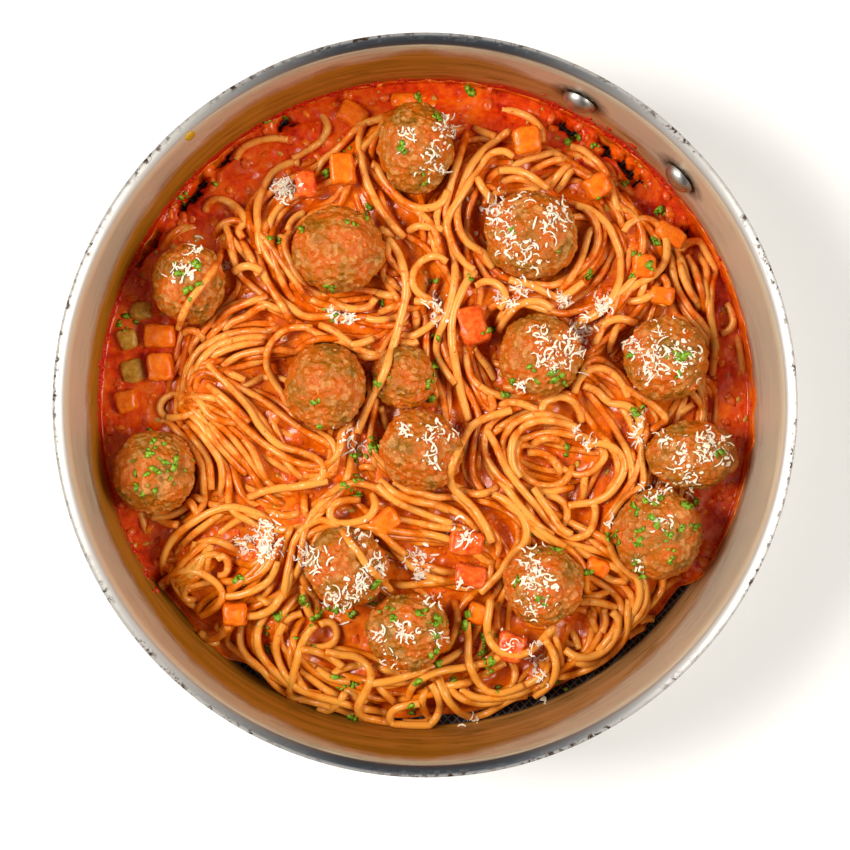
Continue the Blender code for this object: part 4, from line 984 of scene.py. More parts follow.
@dataclass
class SteelPan:
    """A straight-sided pan with a flared lip, turned from clad steel, and the rivets of its handle."""

    rivet_angles: tuple[float, float] = (63.1, 41.8)
    rivet_height: float = 40.0 * MM
    rivet_gap: float = 0.65 * MM
    rivet_grip: float = 5.3 * MM
    dome_radius: float = 6.2 * MM
    dome_height: float = 4.0 * MM
    steps: int = 192

    def outline(self) -> list[tuple[float, float]]:
        """The wall's section, from the axis over the lip and back, as distance from the axis and height."""
        line = [(0.0, 4.0), (60.0, 4.0), (100.0, 4.0)]
        for across, up, radius, first, last, count, after in (
            (113.5, 11.0, 7.0, -90, 0, 8, ()),
            (131.8, 55.2, 7.0, 180, 108, 9, ((129.9, 61.6), (130.0, 61.2), (130.0, 60.0))),
            (131.8, 55.2, 4.5, 116, 180, 7, ()),
            (113.5, 10.0, 10.0, 0, -90, 8, ((0.0, 0.0),)),
        ):
            for step in range(count + 1):
                angle = math.radians(first + (last - first) * step / count)
                line.append((across + radius * math.cos(angle), up + radius * math.sin(angle)))
            line += after
        return [(across * MM, up * MM) for across, up in line]

    def turned(self, outline: list[tuple[float, float]], steps: int) -> bpy.types.Object:
        """Turns an outline round Z, as on a lathe.

        Args:
            outline: Distance from the axis and height of each point, in metres.
            steps: How many steps make the round.

        Returns:
            The closed piece.
        """
        deselect()
        bpy.ops.mesh.primitive_plane_add(size=MM)
        piece = bpy.context.object
        bpy.ops.object.mode_set(mode="EDIT")
        bpy.ops.mesh.merge(type="CENTER")
        bpy.ops.transform.translate(value=(outline[0][0], 0.0, outline[0][1]))
        for here, there in zip(outline, outline[1:]):
            move = (there[0] - here[0], 0.0, there[1] - here[1])
            bpy.ops.mesh.extrude_region_move(TRANSFORM_OT_translate={"value": move})
        bpy.ops.mesh.select_all(action="SELECT")
        bpy.ops.mesh.spin(steps=steps, angle=math.tau, center=(0, 0, 0), axis=(0, 0, 1))
        bpy.ops.mesh.select_all(action="SELECT")
        bpy.ops.mesh.remove_doubles(threshold=0.002 * MM)
        bpy.ops.mesh.normals_make_consistent(inside=False)
        bpy.ops.object.mode_set(mode="OBJECT")
        bpy.ops.object.shade_smooth_by_angle(angle=math.radians(40))
        return piece

    def rivet_place(self, angle: float) -> tuple[Vector, Vector]:
        """Where a rivet's head sits on the wall, by its angle in degrees, and the way in from there."""
        return on_wall(math.radians(angle), self.rivet_height)

    def make_shell(self) -> bpy.types.Object:
        """Builds the turned shell and returns it."""
        pan = settle(self.turned(self.outline(), self.steps), "saute_pan")
        places = as_rows([vertex.co for vertex in pan.data.vertices])
        wall = wall_radius(places[:, 2]) + 0.8 * MM
        inner = (places[:, 2] > 3.9 * MM) & (np.hypot(places[:, 0], places[:, 1]) < wall)
        keep_values(pan, "inner", inner.astype(float))
        heads = tuple(self.rivet_place(angle)[0] for angle in self.rivet_angles)
        pan.data.materials.append(BrushedSteel().make(heads))
        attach(pan, "root")
        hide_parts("pan")
        return pan

    def make_rivets(self) -> list[bpy.types.Object]:
        """Builds the two rivets, each with its dome, its shank and its tail, and returns them."""
        dome = [
            (self.dome_radius * math.cos(angle), self.rivet_gap + self.dome_height * math.sin(angle))
            for angle in np.linspace(0, math.pi / 2, 9)
        ]
        tail = [(3.0, 0.0), (4.6, 0.0), (4.8, 0.3), (4.6, 1.5), (3.8, 1.8), (0.0, 1.8)]
        outline = dome[::-1] + [(3.0 * MM, self.rivet_gap)]
        outline += [(across * MM, -self.rivet_grip - down * MM) for across, down in tail]
        rivets = []
        steel = PlainSteel("turned_stainless_steel", "#CFCBC5", 0.36).make()
        for number, angle in enumerate(self.rivet_angles, 1):
            rivet = self.turned(outline, 40)
            place, inward = self.rivet_place(angle)
            rivet.matrix_world = Matrix.Translation(place) @ inward.to_track_quat("Z", "Y").to_matrix().to_4x4()
            settle(rivet, f"handle_rivet_{number}")
            rivet.data.materials.append(steel)
            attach(rivet, "root")
            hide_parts(f"rivet_{number}")
            rivets.append(rivet)
        return rivets

    def dress_bracket(self) -> None:
        """Gives the plate outside the wall its satin steel."""
        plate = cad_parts["handle_bracket"]
        plate.data.materials.clear()
        plate.data.materials.append(PlainSteel().make())


@dataclass
class Meatball:
    """One meatball: a pressed ball of mince, a little flat, rough all over."""

    name: str
    low: Vector
    high: Vector
    lump: float = 9.0 * MM
    granule: float = 2.5 * MM
    skin: float = 0.5 * MM

    def make(self, finish: bpy.types.Material, draw: random.Random) -> bpy.types.Object:
        """Builds the ball in the place of its node.

        Args:
            finish: Its material.
            draw: Where its chances come from.

        Returns:
            The piece.
        """
        middle = (self.low + self.high) / 2
        half = (self.high - self.low) / 2
        deselect()
        bpy.ops.mesh.primitive_ico_sphere_add(subdivisions=6, radius=1.0, location=middle)
        ball = bpy.context.object
        bpy.ops.object.mode_set(mode="EDIT")
        bpy.ops.transform.rotate(value=draw.uniform(0, math.tau), orient_axis="Z", center_override=middle)
        size = tuple(v - self.skin for v in half)
        bpy.ops.transform.resize(value=size, center_override=middle)
        bpy.ops.object.mode_set(mode="OBJECT")
        settle(ball, f"browned_{self.name}")
        roughen(ball, "CLOUDS", self.lump, 3.0 * MM, 1)
        roughen(ball, "VORONOI", self.granule, 1.5 * MM)
        roughen(ball, "CLOUDS", 1.1 * MM, 1.1 * MM, 2)
        apply_all(ball)
        bpy.ops.object.shade_smooth()
        ball.data.materials.append(finish)
        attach(ball, "root")
        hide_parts(self.name)
        return ball


@dataclass
class CutVegetable:
    """One piece of cut vegetable, softened by cooking."""

    name: str
    kind: SliceKind
    softness: float = 1.8 * MM

    def make(self, finish: bpy.types.Material) -> bpy.types.Object:
        """Rounds and roughens a copy of the node's own block.

        Args:
            finish: Its material.

        Returns:
            The piece.
        """
        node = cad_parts[self.name]
        deselect()
        piece = bpy.data.objects.new(f"cooked_{self.name}", node.data.copy())
        bpy.context.scene.collection.objects.link(piece)
        piece.data.materials.clear()
        piece.select_set(True)
        bpy.context.view_layer.objects.active = piece
        bpy.ops.object.mode_set(mode="EDIT")
        bpy.ops.mesh.select_all(action="SELECT")
        bpy.ops.mesh.remove_doubles(threshold=0.01 * MM)
        bpy.ops.mesh.dissolve_limited(angle_limit=math.radians(8))
        bpy.ops.mesh.select_all(action="SELECT")
        bpy.ops.mesh.bevel(offset=self.softness, segments=2, affect="EDGES")
        bpy.ops.mesh.select_all(action="SELECT")
        bpy.ops.mesh.quads_convert_to_tris()
        bpy.ops.mesh.subdivide(number_cuts=2)
        bpy.ops.mesh.normals_make_consistent(inside=False)
        bpy.ops.object.mode_set(mode="OBJECT")
        smooth = piece.modifiers.new("Smooth", "SMOOTH")
        smooth.iterations = 6
        grow = 1.3 if self.kind is SliceKind.TOMATO else 0.9
        roughen(piece, "CLOUDS", 4.0 * MM, 1.8 * MM * grow, 2)
        roughen(piece, "CLOUDS", 1.2 * MM, 0.5 * MM * grow, 2)
        apply_all(piece)
        bpy.ops.object.shade_smooth()
        piece.data.name = piece.name
        piece.data.materials.append(finish)
        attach(piece, "root")
        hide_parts(self.name)
        return piece


@dataclass
class SpaghettiHeap:
    """The heap: strands laid one on another, under those whose course the photograph shows."""

    meatballs: list[tuple[Vector, Vector]]
    slices: list[tuple[Vector, Vector]]
    strand_radius: float = 1.47 * MM
    ring_gap: float = 1.3 * MM
    drawn_height: float = 27.0 * MM
    camera: tuple[float, float, float] = Studio.camera_place
    sunk_count: int = 150
    upper_count: int = 120
    layer_rise: float = 1.9 * MM
    pool_floor: float = 9.3 * MM
    stride: float = 1.5 * MM
    flow_step: float = 3 * MM
    flow_reach: float = 120 * MM
    draw: random.Random = field(default_factory=lambda: random.Random(SEED))
    ground: Support = field(default_factory=Support)
    balls: np.ndarray | None = None
    aim: np.ndarray | None = None
    cover: np.ndarray | None = None
    rows: dict[Layer, list[tuple[float, np.ndarray]]] = field(default_factory=dict)
    laid: dict[str, list[tuple[np.ndarray, float, float]]] = field(default_factory=dict)
    sauce_top: np.ndarray | None = None

    def read_strands(self) -> None:
        """Turns the table of strands into rows by layer, each with its paleness and its points."""
        for layer, strands in STRANDS.items():
            self.rows[layer] = []
            for strand in strands.split(";"):
                (pale,), *points = table_rows(strand)
                self.rows[layer].append((pale / 100, np.array(points) / 10 * MM))

    def set_ground(self) -> None:
        """Puts the pan, the heap's core and the toppings on the height grids."""
        ground = self.ground
        ground.height = pan_inside(ground.radius) + 0.2 * MM
        share = ground.radius / heap_outline(np.arctan2(ground.y, ground.x))
        self.aim = 4.8 * MM + 20.5 * MM * np.sqrt(np.maximum(1 - share**6, 0.0))
        kept, ground.height = ground.height, np.zeros_like(ground.height)
        for strands in self.rows.values():
            for _, points in strands:
                ground.count(self.resampled(points), self.strand_radius)
        self.cover = ground.blurred(9 * MM)
        ground.height = kept
        core = self.aim - 7.5 * MM - self.layer_rise * self.cover
        ground.raise_to(core + 1.0 * MM * waves(ground.x, ground.y, 14 * MM, 3) * (share < 0.95))
        pool = (share > 1.0) & (np.hypot(ground.x, ground.y + 150 * MM) > 131 * MM)
        ground.raise_to(np.where(pool, self.pool_floor, 0.0))
        self.aim = np.where(pool, self.pool_floor + 0.4 * MM, self.aim)
        self.balls = np.zeros_like(ground.height)
        for low, high in self.meatballs:
            middle, half = (low + high) / 2, (high - low) / 2 - Vector((1.2, 1.2, 0.8)) * MM
            inside = 1 - ((ground.x - middle.x) / half.x) ** 2 - ((ground.y - middle.y) / half.y) ** 2
            top = middle.z + half.z * np.sqrt(np.maximum(inside, 0.0))
            self.balls = np.where(inside > 0, np.maximum(self.balls, top), self.balls)

    def flow(self) -> tuple[np.ndarray, np.ndarray]:
        """The run of the strands over the heap, as the cosine and sine of twice the angle on a 3 mm grid."""
        line = np.arange(-120, 121, 3) * MM
        x, y = np.meshgrid(line, line, indexing="ij")
        around = np.arctan2(y, x) + math.pi / 2
        twice_cos, twice_sin = 0.12 * np.cos(2 * around), 0.12 * np.sin(2 * around)
        for strands in self.rows.values():
            for _, points in strands:
                for here, there in zip(points, points[1:]):
                    step = there - here
                    angle = 2 * math.atan2(step[1], step[0])
                    middle = (here + there) / 2
                    weight = np.exp(-((x - middle[0]) ** 2 + (y - middle[1]) ** 2) / (2 * (7 * MM) ** 2))
                    weight = weight * float(np.hypot(*step)) / (5 * MM)
                    twice_cos += weight * math.cos(angle)
                    twice_sin += weight * math.sin(angle)
        return twice_cos, twice_sin

    def pushed(self, x: np.ndarray, y: np.ndarray, room: float) -> tuple[np.ndarray, np.ndarray]:
        """Moves places out of the meatballs, seen from above.

        Args:
            x: Places along X.
            y: Places along Y.
            room: How far to stay off a ball's outline.

        Returns:
            The moved places.
        """
        for low, high in self.meatballs:
            middle, half = (low + high) / 2, (high - low) / 2
            across, along = (x - middle.x) / (half.x + room), (y - middle.y) / (half.y + room)
            share = np.maximum(np.hypot(across, along), 1e-3)
            grow = np.where(share < 1, 1 / share, 1.0)
            x, y = middle.x + (x - middle.x) * grow, middle.y + (y - middle.y) * grow
        return x, y

    def smooth(self, values: np.ndarray, size: float) -> np.ndarray:
        """Averages values along a strand over about a size in metres."""
        half = max(1, int(size / self.ring_gap))
        weights = np.exp(-0.5 * (np.arange(-half, half + 1) / (half / 2)) ** 2)
        padded = np.pad(values, half, mode="edge")
        return np.convolve(padded, weights / weights.sum(), mode="valid")

    def resampled(self, points: np.ndarray) -> np.ndarray:
        """Draws a smooth line through points and spaces it evenly.

        Args:
            points: Rows of x and y.

        Returns:
            Rows of x and y, a ring apart.
        """
        ends = np.vstack([2 * points[0] - points[1], points, 2 * points[-1] - points[-2]])
        dense = []
        for a, b, c, d in zip(ends, ends[1:], ends[2:], ends[3:]):
            for t in np.linspace(0, 1, 12, endpoint=False):
                dense.append(
                    0.5 * (2 * b + (c - a) * t + (2 * a - 5 * b + 4 * c - d) * t * t + (3 * b - a - 3 * c + d) * t**3)
                )
        dense.append(points[-1])
        line = np.array(dense)
        along = np.concatenate([[0], np.cumsum(np.hypot(*np.diff(line, axis=0).T))])
        places = np.linspace(0, along[-1], max(4, int(along[-1] / self.ring_gap) + 1))
        return np.column_stack([np.interp(places, along, line[:, i]) for i in (0, 1)])

    def lie(self, plan: np.ndarray, drawn: bool, over: bool, radius: float) -> np.ndarray:
        """Lets a strand down on what is there.

        Args:
            plan: Rows of x and y.
            drawn: Whether they are as the camera sees them at the drawn height.
            over: Whether the strand may lie over meatballs.
            radius: The strand's radius.

        Returns:
            Rows of x, y and z of its axis.
        """
        height = np.full(len(plan), self.drawn_height)
        ground = self.ground
        kept = ground.height
        if over:
            ground.height = np.maximum(kept, self.balls)
        for _ in range(4 if drawn else 2):
            x, y = plan[:, 0], plan[:, 1]
            if drawn:
                nearer = (self.camera[2] - height) / (self.camera[2] - self.drawn_height)
                x, y = x * nearer, self.camera[1] + (y - self.camera[1]) * nearer
            if not over:
                x, y = self.pushed(x, y, radius * 0.7)
            away = np.hypot(x, y)
            limit = wall_radius(height) - radius - 0.2 * MM
            shrink = np.minimum(1.0, limit / np.maximum(away, 1e-6))
            x, y = x * shrink, y * shrink
            rest = ground.rest(x, y, radius * 0.72)
            sag = self.smooth(np.maximum(rest, self.smooth(rest, 7 * MM)), 3 * MM)
            sag = self.pressed(x, y, sag, over)
            height = 0.4 * height + 0.6 * sag if drawn else sag
        ground.height = kept
        return np.column_stack([self.smooth(x, 2 * MM), self.smooth(y, 2 * MM), height])

    def pressed(self, x: np.ndarray, y: np.ndarray, height: np.ndarray, over: bool) -> np.ndarray:
        """Presses what stands far above the heap's surface most of the way down to it.

        Args:
            x: Places along X.
            y: Places along Y.
            height: Heights there.
            over: Whether meatballs may carry the strand.

        Returns:
            The lowered heights.
        """
        cell = self.ground.cell(x, y)
        top = np.maximum(self.aim[cell] + 2.2 * MM, pan_inside(np.hypot(x, y)) + 2.2 * self.strand_radius)
        if over:
            top = np.maximum(top, self.balls[cell] + 1.5 * self.strand_radius)
        return np.where(height > top, top + 0.25 * (height - top), height)

    def lay(self, part: str, path: np.ndarray, radius: float, pale: float, dive: float) -> None:
        """Keeps a laid strand for a part of the heap and raises the ground by it.

        Args:
            part: The part of the heap.
            path: Rows of x, y and z of its axis.
            radius: Its radius.
            pale: How little sauce it carries.
            dive: How far its ends go down between the others.
        """
        self.ground.lay(path, radius)
        along = np.arange(len(path)) * self.ring_gap
        gap = np.minimum(along, along[-1] - along)
        low = path[:, 2] - dive * np.exp(-((gap / (4 * MM)) ** 2))
        sunk = np.maximum(low, pan_inside(np.hypot(path[:, 0], path[:, 1])) + radius)
        path[:, 2] = np.minimum(path[:, 2], sunk)
        self.laid.setdefault(part, []).append((path, radius, pale))

    def fill(self, part: str, count: int, clear: bool) -> None:
        """Lays strands that follow the run of the heap, each where the heap is lowest.

        Args:
            part: The part of the heap that they join.
            count: How many.
            clear: Whether they keep off the meatballs.
        """
        flow = self.flow()
        target = self.aim - self.layer_rise * self.cover
        for _ in range(count):
            best, start = None, None
            for _ in range(14):
                turn, away = self.draw.uniform(-math.pi, math.pi), math.sqrt(self.draw.random()) * 0.97
                edge = float(heap_outline(np.array([turn]))[0])
                x, y = away * edge * math.cos(turn), away * edge * math.sin(turn)
                if clear and self.pushed(np.array([x]), np.array([y]), MM)[0][0] != x:
                    continue
                cell = self.ground.cell(np.array([x]), np.array([y]))
                low = float(self.ground.height[cell][0] - target[cell][0])
                if best is None or low < best:
                    best, start = low, (x, y)
            if start is None:
                continue
            steps = int(self.draw.uniform(45, 110) * MM / 2 / self.stride)
            swing, phase = self.draw.uniform(0.1, 0.45), self.draw.uniform(0, math.tau)
            ahead, back = (self.walk(flow, start, way, steps, swing, phase, clear) for way in (1.0, -1.0))
            plan = self.resampled(np.array(back[::-1] + [start] + ahead)[::3])
            radius = self.strand_radius * self.draw.uniform(0.93, 1.04)
            path = self.lie(plan, False, False, radius) if clear else self.flat(plan, radius)
            self.lay(part, path, radius, self.draw.uniform(0.2, 0.55), 4.5 * MM)

    def walk(
        self,
        flow: tuple[np.ndarray, np.ndarray],
        start: tuple[float, float],
        way: float,
        steps: int,
        swing: float,
        phase: float,
        clear: bool,
    ) -> list[tuple[float, float]]:
        """Follows the run of the heap from a place, and turns along the heap's edge.

        Args:
            flow: The run of the strands, as flow gives it.
            start: Where the walk starts.
            way: 1 to go with the run, -1 against it.
            steps: How many steps it has.
            swing: How far it wanders from the run, in radians.
            phase: Where its wandering starts.
            clear: Whether it keeps off the meatballs.

        Returns:
            The place after each step.
        """
        (x, y), heading, line = start, None, []
        for step in range(steps):
            cell = tuple(int(np.clip(round((v + self.flow_reach) / self.flow_step), 0, 80)) for v in (x, y))
            angle = 0.5 * math.atan2(flow[1][cell], flow[0][cell])
            angle += swing * math.sin(phase + way * step * 0.09)
            aim = Vector((math.cos(angle), math.sin(angle)))
            if heading is None:
                heading = aim * way
            elif aim.dot(heading) < 0:
                aim = -aim
            heading = (heading * 0.72 + (aim if step else heading) * 0.28).normalized()
            away = math.hypot(x, y)
            edge = float(heap_outline(np.array([math.atan2(y, x)]))[0])
            out = Vector((x, y)) / max(away, MM)
            if away > edge - 4 * MM and heading.dot(out) > 0:
                heading = (heading - out * heading.dot(out) * 1.2).normalized()
            x, y = x + heading.x * self.stride, y + heading.y * self.stride
            if clear:
                moved = self.pushed(np.array([x]), np.array([y]), self.strand_radius * 0.7)
                x, y = float(moved[0][0]), float(moved[1][0])
            line.append((x, y))
        return line

    def flat(self, plan: np.ndarray, radius: float) -> np.ndarray:
        """Lays a deep strand under the meatballs, on the ground alone."""
        rest = self.ground.rest(plan[:, 0], plan[:, 1], radius * 0.7)
        height = self.smooth(np.maximum(rest, self.smooth(rest, 7 * MM)), 3 * MM)
        return np.column_stack([plan, self.pressed(plan[:, 0], plan[:, 1], height, False)])

    def lay_all(self) -> None:
        """Lays the whole heap from the bottom up, with the sauce between its strands."""
        self.read_strands()
        self.set_ground()
        self.fill("lower", self.sunk_count, False)
        self.fill("middle", self.upper_count, True)
        for pale, points in self.rows[Layer.SUNK]:
            path = self.lie(self.resampled(points), True, False, self.strand_radius)
            self.lay("middle", path, self.strand_radius, pale, 3.5 * MM)
        blurred = self.ground.blurred(5 * MM)
        lumps = waves(self.ground.x, self.ground.y, 5 * MM, 8) * 0.7 * MM
        self.sauce_top = blurred - 1.1 * MM + lumps
        covered = self.ground.radius < heap_outline(np.arctan2(self.ground.y, self.ground.x)) - 2 * MM
        self.ground.raise_to(np.where(covered, self.sauce_top, 0.0))
        for layer in (Layer.MIDDLE, Layer.TOP, Layer.OVER_MEATBALLS):
            part = "middle" if layer is Layer.MIDDLE else "top"
            for low, high in self.slices if layer is Layer.TOP else []:
                block = (self.ground.x > low.x) & (self.ground.x < high.x)
                block &= (self.ground.y > low.y) & (self.ground.y < high.y)
                self.ground.raise_to(np.where(block, high.z - 0.8 * MM, 0.0))
            for pale, points in self.rows[layer]:
                radius = self.strand_radius * self.draw.uniform(0.96, 1.05)
                over = layer is Layer.OVER_MEATBALLS
                path = self.lie(self.resampled(points), True, over, radius)
                self.lay(part, path, radius, pale, (3.2 if layer is Layer.MIDDLE else 1.2) * MM)

    def make_part(self, part: str, sides: int, finish: bpy.types.Material) -> bpy.types.Object:
        """Makes one piece of all the strands of a part of the heap.

        Args:
            part: Which part.
            sides: How many sides a strand has.
            finish: The material.

        Returns:
            The piece.
        """
        points, faces, tones, top_light_shares, count = [], [], [], [], 0
        around = np.linspace(0, math.tau, sides, endpoint=False)
        for path, radius, pale in self.laid[part]:
            along = np.gradient(path, axis=0)
            along /= np.maximum(np.linalg.norm(along, axis=1, keepdims=True), 1e-9)
            side = np.cross(along, (0.0, 0.0, 1.0))
            side /= np.maximum(np.linalg.norm(side, axis=1, keepdims=True), 1e-9)
            top = np.cross(side, along)
            skin = side[:, None, :] * np.cos(around)[None, :, None] + top[:, None, :] * np.sin(around)[None, :, None]
            rings = path[:, None, :] + radius * skin
            # How far each vertex faces up, for the pasta's painted highlight on tops and painted shade below
            up = np.sin(around)[None, :] * top[:, 2:3]
            total = len(path)
            points += [rings.reshape(-1, 3), path[:1], path[-1:]]
            top_light_shares += [up.reshape(-1), [0.6, 0.6]]
            tone = pale + 0.12 * np.sin(np.arange(total) * 0.21 + pale * 40)
            tones += [np.repeat(tone, sides), [0.9, 0.9]]
            last = count + total * sides
            faces += tube_faces(count, total, sides)
            faces += fan_faces(last, count, sides) + fan_faces(last + 1, last - sides, sides, -1)
            count = last + 2
        piece = mesh_piece(f"spaghetti_{part}", np.vstack(points), faces)
        keep_values(piece, "tone", np.concatenate(tones))
        keep_values(piece, "up", np.concatenate(top_light_shares))
        piece.data.materials.append(finish)
        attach(piece, "root")
        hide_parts("spaghetti")
        return piece


@dataclass
class SauceBed:
    """The sauce: an orange bed between the strands and a deep red pool between the heap and the wall."""

    heap: SpaghettiHeap
    level: float = 11.3 * MM
    bare_middle: tuple[float, float] = (0.0, -150.0 * MM)
    bare_radius: float = 131.0 * MM
    rings: int = 190
    steps: int = 480
    climb_rings: int = 8
    farthest: float = 120.35 * MM
    dips: tuple[tuple[float, float, float], ...] = (
        (132.5, 5.0, 2.2), (147.0, 9.0, 2.6), (112.0, 3.0, 2.0), (57.0, 4.0, 2.4), (50.0, 2.5, 2.2),
    )
    gaps: tuple[tuple[float, ...], ...] = (
        (-106.4, 53.9, -98.7, 64.9, 1.2), (-90.7, 73.1, -82.4, 83.5, 1.5), (-77.7, 88.9, -71.1, 94.1, 1.3),
        (-54.4, 104.7, -50.3, 106.6, 1.4), (50.3, 105.1, 56.3, 101.0, 1.9), (66.2, 99.5, 68.8, 93.5, 1.6),
        (73.9, 90.8, 79.1, 83.9, 1.7), (95.8, 65.2, 99.9, 62.2, 1.6), (105.0, 34.0, 106.5, 29.0, 1.2),
    )

    def bare_shore(self, turn: np.ndarray) -> np.ndarray:
        """How far the sauce reaches at the lower side, where the floor's edge is mostly bare.

        Args:
            turn: Angles round the pan, in radians.

        Returns:
            Distances from the pan's axis.
        """
        angles = np.array([-180.0, -128.0, -121.5, -116.0, -98.0, -88.0, -60.0, -38.0, -25.0])
        reach = np.array([119.8, 119.4, 114.0, 118.6, 118.0, 115.8, 116.0, 116.6, 119.0])
        shown = np.interp(degrees_apart(turn, 0), angles, reach, left=120.0, right=120.0)
        return (shown + 0.5 * waves(100 * MM * np.cos(turn), 100 * MM * np.sin(turn), 6 * MM, 21)) * MM

    def climb(self, turn: np.ndarray) -> np.ndarray:
        """How high sauce is smeared up the wall, by angle in radians."""
        angles = np.array([-180.0, -60.0, -42.0, -20.0, -8.0, 34.0, 42.0, 60.0, 96.0, 110.0, 180.0])
        heights = np.array([9.0, 8.0, 12.0, 17.0, 20.0, 20.5, 15.5, 15.0, 14.5, 12.5, 9.0])
        ragged = waves(120 * MM * np.cos(turn), 120 * MM * np.sin(turn), 5 * MM, 22)
        return (np.interp(degrees_apart(turn, 0), angles, heights) + 1.3 * ragged) * MM

    def slots(self, x: np.ndarray, y: np.ndarray) -> np.ndarray:
        """How far places lie in the gaps where the pool leaves the pan's floor bare."""
        inside = np.zeros_like(x)
        edge = 0.9 * MM * waves(x, y, 2.2 * MM, 24)
        for ax, ay, bx, by, half in self.gaps:
            ax, ay, bx, by = ax * MM, ay * MM, bx * MM, by * MM
            dx, dy = bx - ax, by - ay
            along = np.clip(((x - ax) * dx + (y - ay) * dy) / (dx**2 + dy**2), 0, 1)
            away = np.hypot(x - ax - along * dx, y - ay - along * dy) + edge
            inside = np.maximum(inside, np.clip((half * MM - away) / (1.2 * MM) + 0.5, 0, 1))
        return inside * inside * (3 - 2 * inside)

    def make(self, finish: bpy.types.Material) -> bpy.types.Object:
        """Builds the bed as one closed shell.

        Args:
            finish: The material; it reads how much of the pool each place is.

        Returns:
            The piece.
        """
        turn = np.linspace(0, math.tau, self.steps, endpoint=False)
        edge_x, edge_y = SAUCE_EDGE * np.cos(turn), SAUCE_EDGE * np.sin(turn)
        gap = np.hypot(edge_x - self.bare_middle[0], edge_y - self.bare_middle[1]) - self.bare_radius
        pooled = np.clip(gap / (9 * MM) + 0.5, 0, 1)
        reach = 120.2 * MM + 0.3 * MM * waves(edge_x, edge_y, 12 * MM, 5)
        for middle, width, depth in self.dips:
            reach -= depth * MM * np.exp(-0.5 * (degrees_apart(turn, middle) / (width / 2)) ** 2)
        reach = np.minimum(reach, self.farthest)
        shore = pooled * reach + (1 - pooled) * self.bare_shore(turn)
        share = (np.arange(self.rings) + 1) / self.rings
        x = share[:, None] * shore * np.cos(turn)
        y = share[:, None] * shore * np.sin(turn)
        away = np.hypot(x, y)
        heap_edge = heap_outline(np.arctan2(y, x))
        ground = self.heap.ground
        bed = self.heap.sauce_top[ground.cell(x, y)]
        inland = np.clip((heap_edge - away) / (7 * MM), 0, 1)
        bed = np.where(inland > 0, pan_inside(away) + (bed - pan_inside(away)) * inland**0.6, 0.0)
        lumps = waves(x, y, 5.5 * MM, 11) * 0.6 * MM + waves(x, y, 2.2 * MM, 12) * 0.22 * MM
        pool = self.level + lumps * (1 - 0.7 * np.clip((away - 115 * MM) / (5 * MM), 0, 1))
        pool = np.where(pooled[None, :] > 0.02, pool * pooled + 3.0 * MM * (1 - pooled), 0.0)
        top = np.maximum(bed, pool)
        floor = pan_inside(np.minimum(away, self.farthest))
        top = np.maximum(top, floor + 0.35 * MM)
        top -= (top - floor + 1.2 * MM) * self.slots(x, y)
        wet = 1 / (1 + np.exp(-(pool - bed) / (0.8 * MM)))
        crest = np.maximum(self.climb(turn), top[-1] + 0.3 * MM)
        steps = np.linspace(0.12, 1, self.climb_rings)[:, None]
        rise = top[-1] + (crest - top[-1]) * steps
        bumps = 0.25 * MM * waves(120 * MM * np.cos(turn) + rise, 120 * MM * np.sin(turn) + rise, 2.5 * MM, 23)
        film = np.maximum(shore + steps * 0.2 * MM, wall_radius(rise) - 0.35 * MM + bumps * (1 - steps))
        film = np.minimum(film, wall_radius(rise) - 0.08 * MM) * pooled + (shore + 0.05 * MM * steps) * (1 - pooled)
        rise = rise * pooled + (top[-1] - 0.15 * MM * steps) * (1 - pooled)
        x = np.vstack([x, film * np.cos(turn)])
        y = np.vstack([y, film * np.sin(turn)])
        top = np.vstack([top, rise])
        wet = np.vstack([wet, wet[-1] * (1 - steps)])
        middle = [[0.0, 0.0, float(top[0].mean())]]
        under = [[0.0, 0.0, 3.75 * MM]]
        skirts = []
        for height in (rise[-1], rise[0] - 0.2 * MM):
            away = (wall_radius(height) + 0.12 * MM) * pooled + (shore - 0.1 * MM) * (1 - pooled)
            skirts.append(np.column_stack([away * np.cos(turn), away * np.sin(turn), height]))
        for inward, limit in ((0.6, 120.2), (1.6, 119.2), (3.0, 117.6), (4.6, 115.8), (7.2, 113.0)):
            away = np.minimum(shore - inward * MM, limit * MM)
            low = np.minimum(pan_inside(away) - 0.25 * MM, rise[0] - 0.3 * MM)
            skirts.append(np.column_stack([away * np.cos(turn), away * np.sin(turn), low]))
        points = np.vstack([np.column_stack([x.ravel(), y.ravel(), top.ravel()]), middle, under, *skirts])
        count = self.steps
        here, after = np.arange(count), (np.arange(count) + 1) % count
        crown = len(top) * count
        base, outer = crown + 1, crown - count
        faces = tube_faces(0, len(top), count) + fan_faces(crown, 0, count)
        for lower in range(base + 1, base + 1 + len(skirts) * count, count):
            faces += np.stack([outer + after, outer + here, lower + here, lower + after], axis=-1).tolist()
            outer = lower
        faces += fan_faces(base, outer, count, -1)
        piece = mesh_piece("tomato_sauce_bed", points, faces)
        keep_values(piece, "pool", np.concatenate([wet.ravel(), np.zeros(2 + len(skirts) * count)]))
        piece.data.materials.append(finish)
        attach(piece, "root")
        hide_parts("sauce")
        return piece


